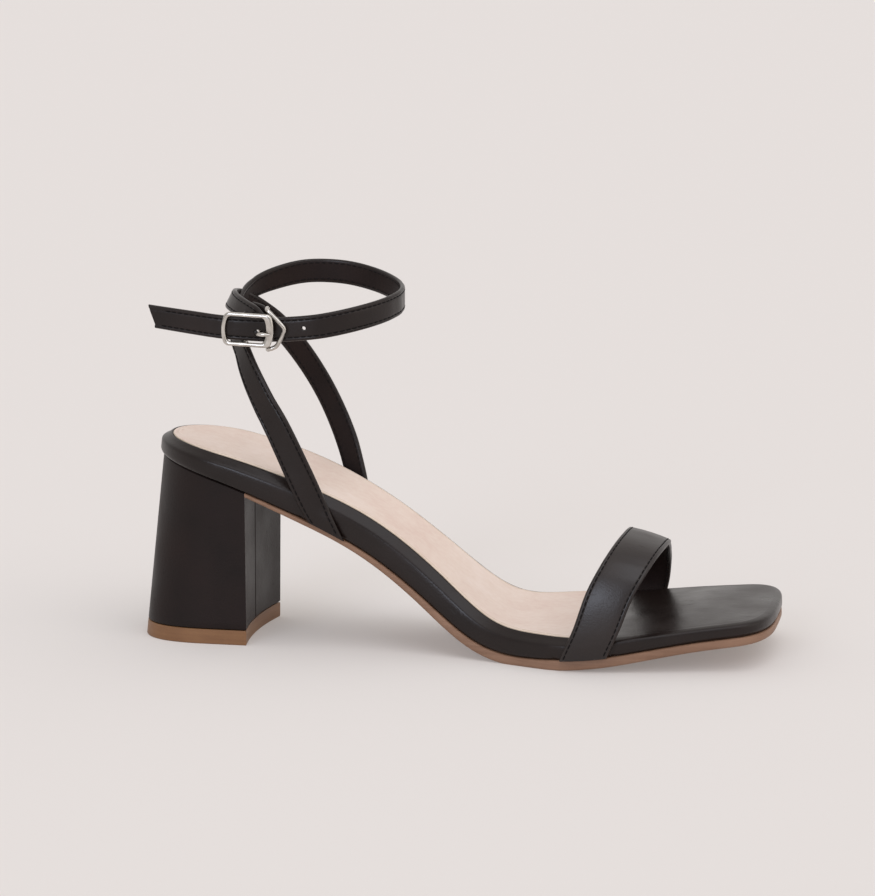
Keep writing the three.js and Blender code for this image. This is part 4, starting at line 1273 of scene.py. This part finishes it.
def sew(name, places, slot, seed):
    # places: point, along, out for each stitch
    mesh = bpy.data.meshes.new(name)
    mesh.from_pydata([tuple(toWorld(*p)) for p, along, out in places], [], [])
    for key, part in (("sewAlong", 1), ("sewOut", 2)):
        data = mesh.attributes.new(key, "FLOAT_VECTOR", "POINT")
        for index, place in enumerate(places):
            data.data[index].vector = place[part]
    piece = bpy.data.objects.new(name, mesh)
    bpy.context.scene.collection.objects.link(piece)
    modifier = piece.modifiers.new("stitches", "NODES")
    modifier.node_group = sewing
    values = {"Stitch Length": stitch["length"] / 1000, "Thread Thickness": stitch["thickness"] / 1000,
              "Slant Seed": seed, "Thread": blackThread}
    for item in sewing.interface.items_tree:
        if item.in_out == "INPUT" and item.name in values:
            modifier[item.identifier] = values[item.name]
    graph = bpy.context.evaluated_depsgraph_get()
    made = bpy.data.meshes.new_from_object(piece.evaluated_get(graph))
    piece.modifiers.clear()
    piece.data = made
    finished(piece, slot=slot)


def sewingPlaces(run, crown, inner):
    # points a stitch apart along both edges of a strap, on its face or on its lining
    places = []
    for side in (-1, 1):
        travelled = 0.0
        due = strap["pitch"] * 0.5
        for before, after in zip(run, run[1:]):
            half = after["width"] / 2
            bulge = crown * (1 - ((half - strap["stitchInset"]) / half) ** 2)
            height = strap["thickness"] / 2 - stitch["sink"] + bulge
            if inner:
                height = -strap["thickness"] / 2 + stitch["sink"] * 0.4
            start = onStrap(before, side * (before["width"] / 2 - strap["stitchInset"]), height)
            end = onStrap(after, side * (half - strap["stitchInset"]), height)
            step = (end - start).length
            while travelled + step >= due:
                spot = start.lerp(end, (due - travelled) / step)
                if spot.z > wallFoot(spot.x) + stitch["clearOfSeam"]:
                    places.append((spot, (end - start).normalized(), after["out"] * (-1 if inner else 1)))
                due += strap["pitch"]
            travelled += step
    return places


sewnStraps = [  # piece, its run of frames, crown, slot, seed of the slant
    ("stitches_long_strap", longFrames[6:-3], 0.0, "ankle_straps", 3),
    ("stitches_short_strap", shortFrames[6:-len(foldFrames)], 0.0, "ankle_straps", 5),
    ("stitches_toe_strap", toeStrapFrames[6:-6], toe["crown"], "toe_strap", 7),
]
for name, run, crown, slot, seed in sewnStraps:
    sew(name, sewingPlaces(run, crown, False) + sewingPlaces(run, crown, True), slot, seed)
print("stitches sewn")


# Floor, light and camera
studio = {
    "paper": "#e6e1de",
    "paperShare": 0.74,      # of the paper's colour, so that the sweep with its painted glow stays under full white
    "paintedGlow": 0.25,            # painted glow: the paper itself emits a little light, which keeps the shadows pale
    "reach": 14.0,
    "suns": [  # name, direction, strength, width in degrees, colour
        ("overhead_panel", (0.35, -0.45, 0.9), 0.8, 52, "#f6f8ff"),
        ("window_in_front", (-0.25, -1.0, 0.33), 0.8, 25, "#e6eeff"),
        ("bright_wall_at_the_toe", (1.0, -0.25, 0.3), 0.5, 60, "#fff6ee"),
    ],
    # the room: brightest overhead and behind the shoe, darker behind the photographer
    "air": {"low": 0.6, "climb": 0.22, "behind": 0.2, "least": 0.08, "colour": "#f8f4f1"},
}


def plainSweep():
    paper = linear(studio["paper"])
    material, tree, shader = newMaterial("warm_sweep_with_painted_glow", {
        "Roughness": 1.0,
        "Specular IOR Level": 0.0,
        "Base Color": [value * studio["paperShare"] for value in paper[:3]] + [1.0],
        # the emission is painted light: the sweep glows by itself and so lifts the shadows cast on it
        "Emission Color": paper,
        "Emission Strength": studio["paintedGlow"],
    })
    mesh = bpy.data.meshes.new("studio_floor")
    reach = studio["reach"]
    corners = [(-reach, -reach, 0), (reach, -reach, 0), (reach, reach, 0), (-reach, reach, 0)]
    mesh.from_pydata(corners, [], [(0, 1, 2, 3)])
    floor = bpy.data.objects.new("studio_floor", mesh)
    mesh.materials.append(material)
    bpy.context.scene.collection.objects.link(floor)


def softSun(name, direction, strength, width, colour):
    data = bpy.data.lights.new(name, "SUN")
    data.energy = strength
    data.color = linear(colour)[:3]
    data.angle = math.radians(width)
    light = bpy.data.objects.new(name, data)
    bpy.context.scene.collection.objects.link(light)
    light.location = direction
    light.rotation_mode = "QUATERNION"
    light.rotation_quaternion = (-Vector(direction)).to_track_quat("-Z", "Y")
    light.visible_camera = False


def studioAir(air):
    world = bpy.data.worlds.new("studio_air")
    world.use_nodes = True
    tree = world.node_tree
    place = addNode(tree, "ShaderNodeTexCoord").outputs["Generated"]
    way = addNode(tree, "ShaderNodeSeparateXYZ", {"Vector": place}).outputs
    up = addNode(tree, "ShaderNodeMath", {0: way["Z"], 1: air["climb"], 2: air["low"]},
                 operation="MULTIPLY_ADD")
    back = addNode(tree, "ShaderNodeMath", {0: way["Y"], 1: air["behind"], 2: up}, operation="MULTIPLY_ADD")
    held = addNode(tree, "ShaderNodeMath", {0: back, 1: air["least"]}, operation="MAXIMUM")
    plug(tree, tree.nodes["Background"], {"Color": linear(air["colour"]), "Strength": held})
    return world


plainSweep()
for sun in studio["suns"]:
    softSun(*sun)
bpy.context.scene.world = studioAir(studio["air"])
bpy.context.scene.view_settings.view_transform = "Standard"
print("studio lit")

view = {"target": (84.77, 0.0, 68.94), "azimuth": 11.26, "elevation": 9.54, "distance": 1148.66,
        "focal": 3248.22, "imageLong": 896}   # millimetres and degrees; focal and image in pixels
cameraData = bpy.data.cameras.new("product_camera")
cameraData.sensor_width = 36
cameraData.lens = view["focal"] * cameraData.sensor_width / view["imageLong"]
camera = bpy.data.objects.new("product_camera", cameraData)
bpy.context.scene.collection.objects.link(camera)
turn = math.radians(view["azimuth"])
tip = math.radians(view["elevation"])
back = Vector((math.sin(turn) * math.cos(tip), -math.cos(turn) * math.cos(tip), math.sin(tip)))
target = Vector(view["target"])
camera.location = (target + back * view["distance"]) / 1000
camera.rotation_mode = "QUATERNION"
camera.rotation_quaternion = (-back).to_track_quat("-Z", "Y")
cameraData.clip_start = 0.05
cameraData.clip_end = 60
bpy.context.scene.camera = camera

print("scene made")
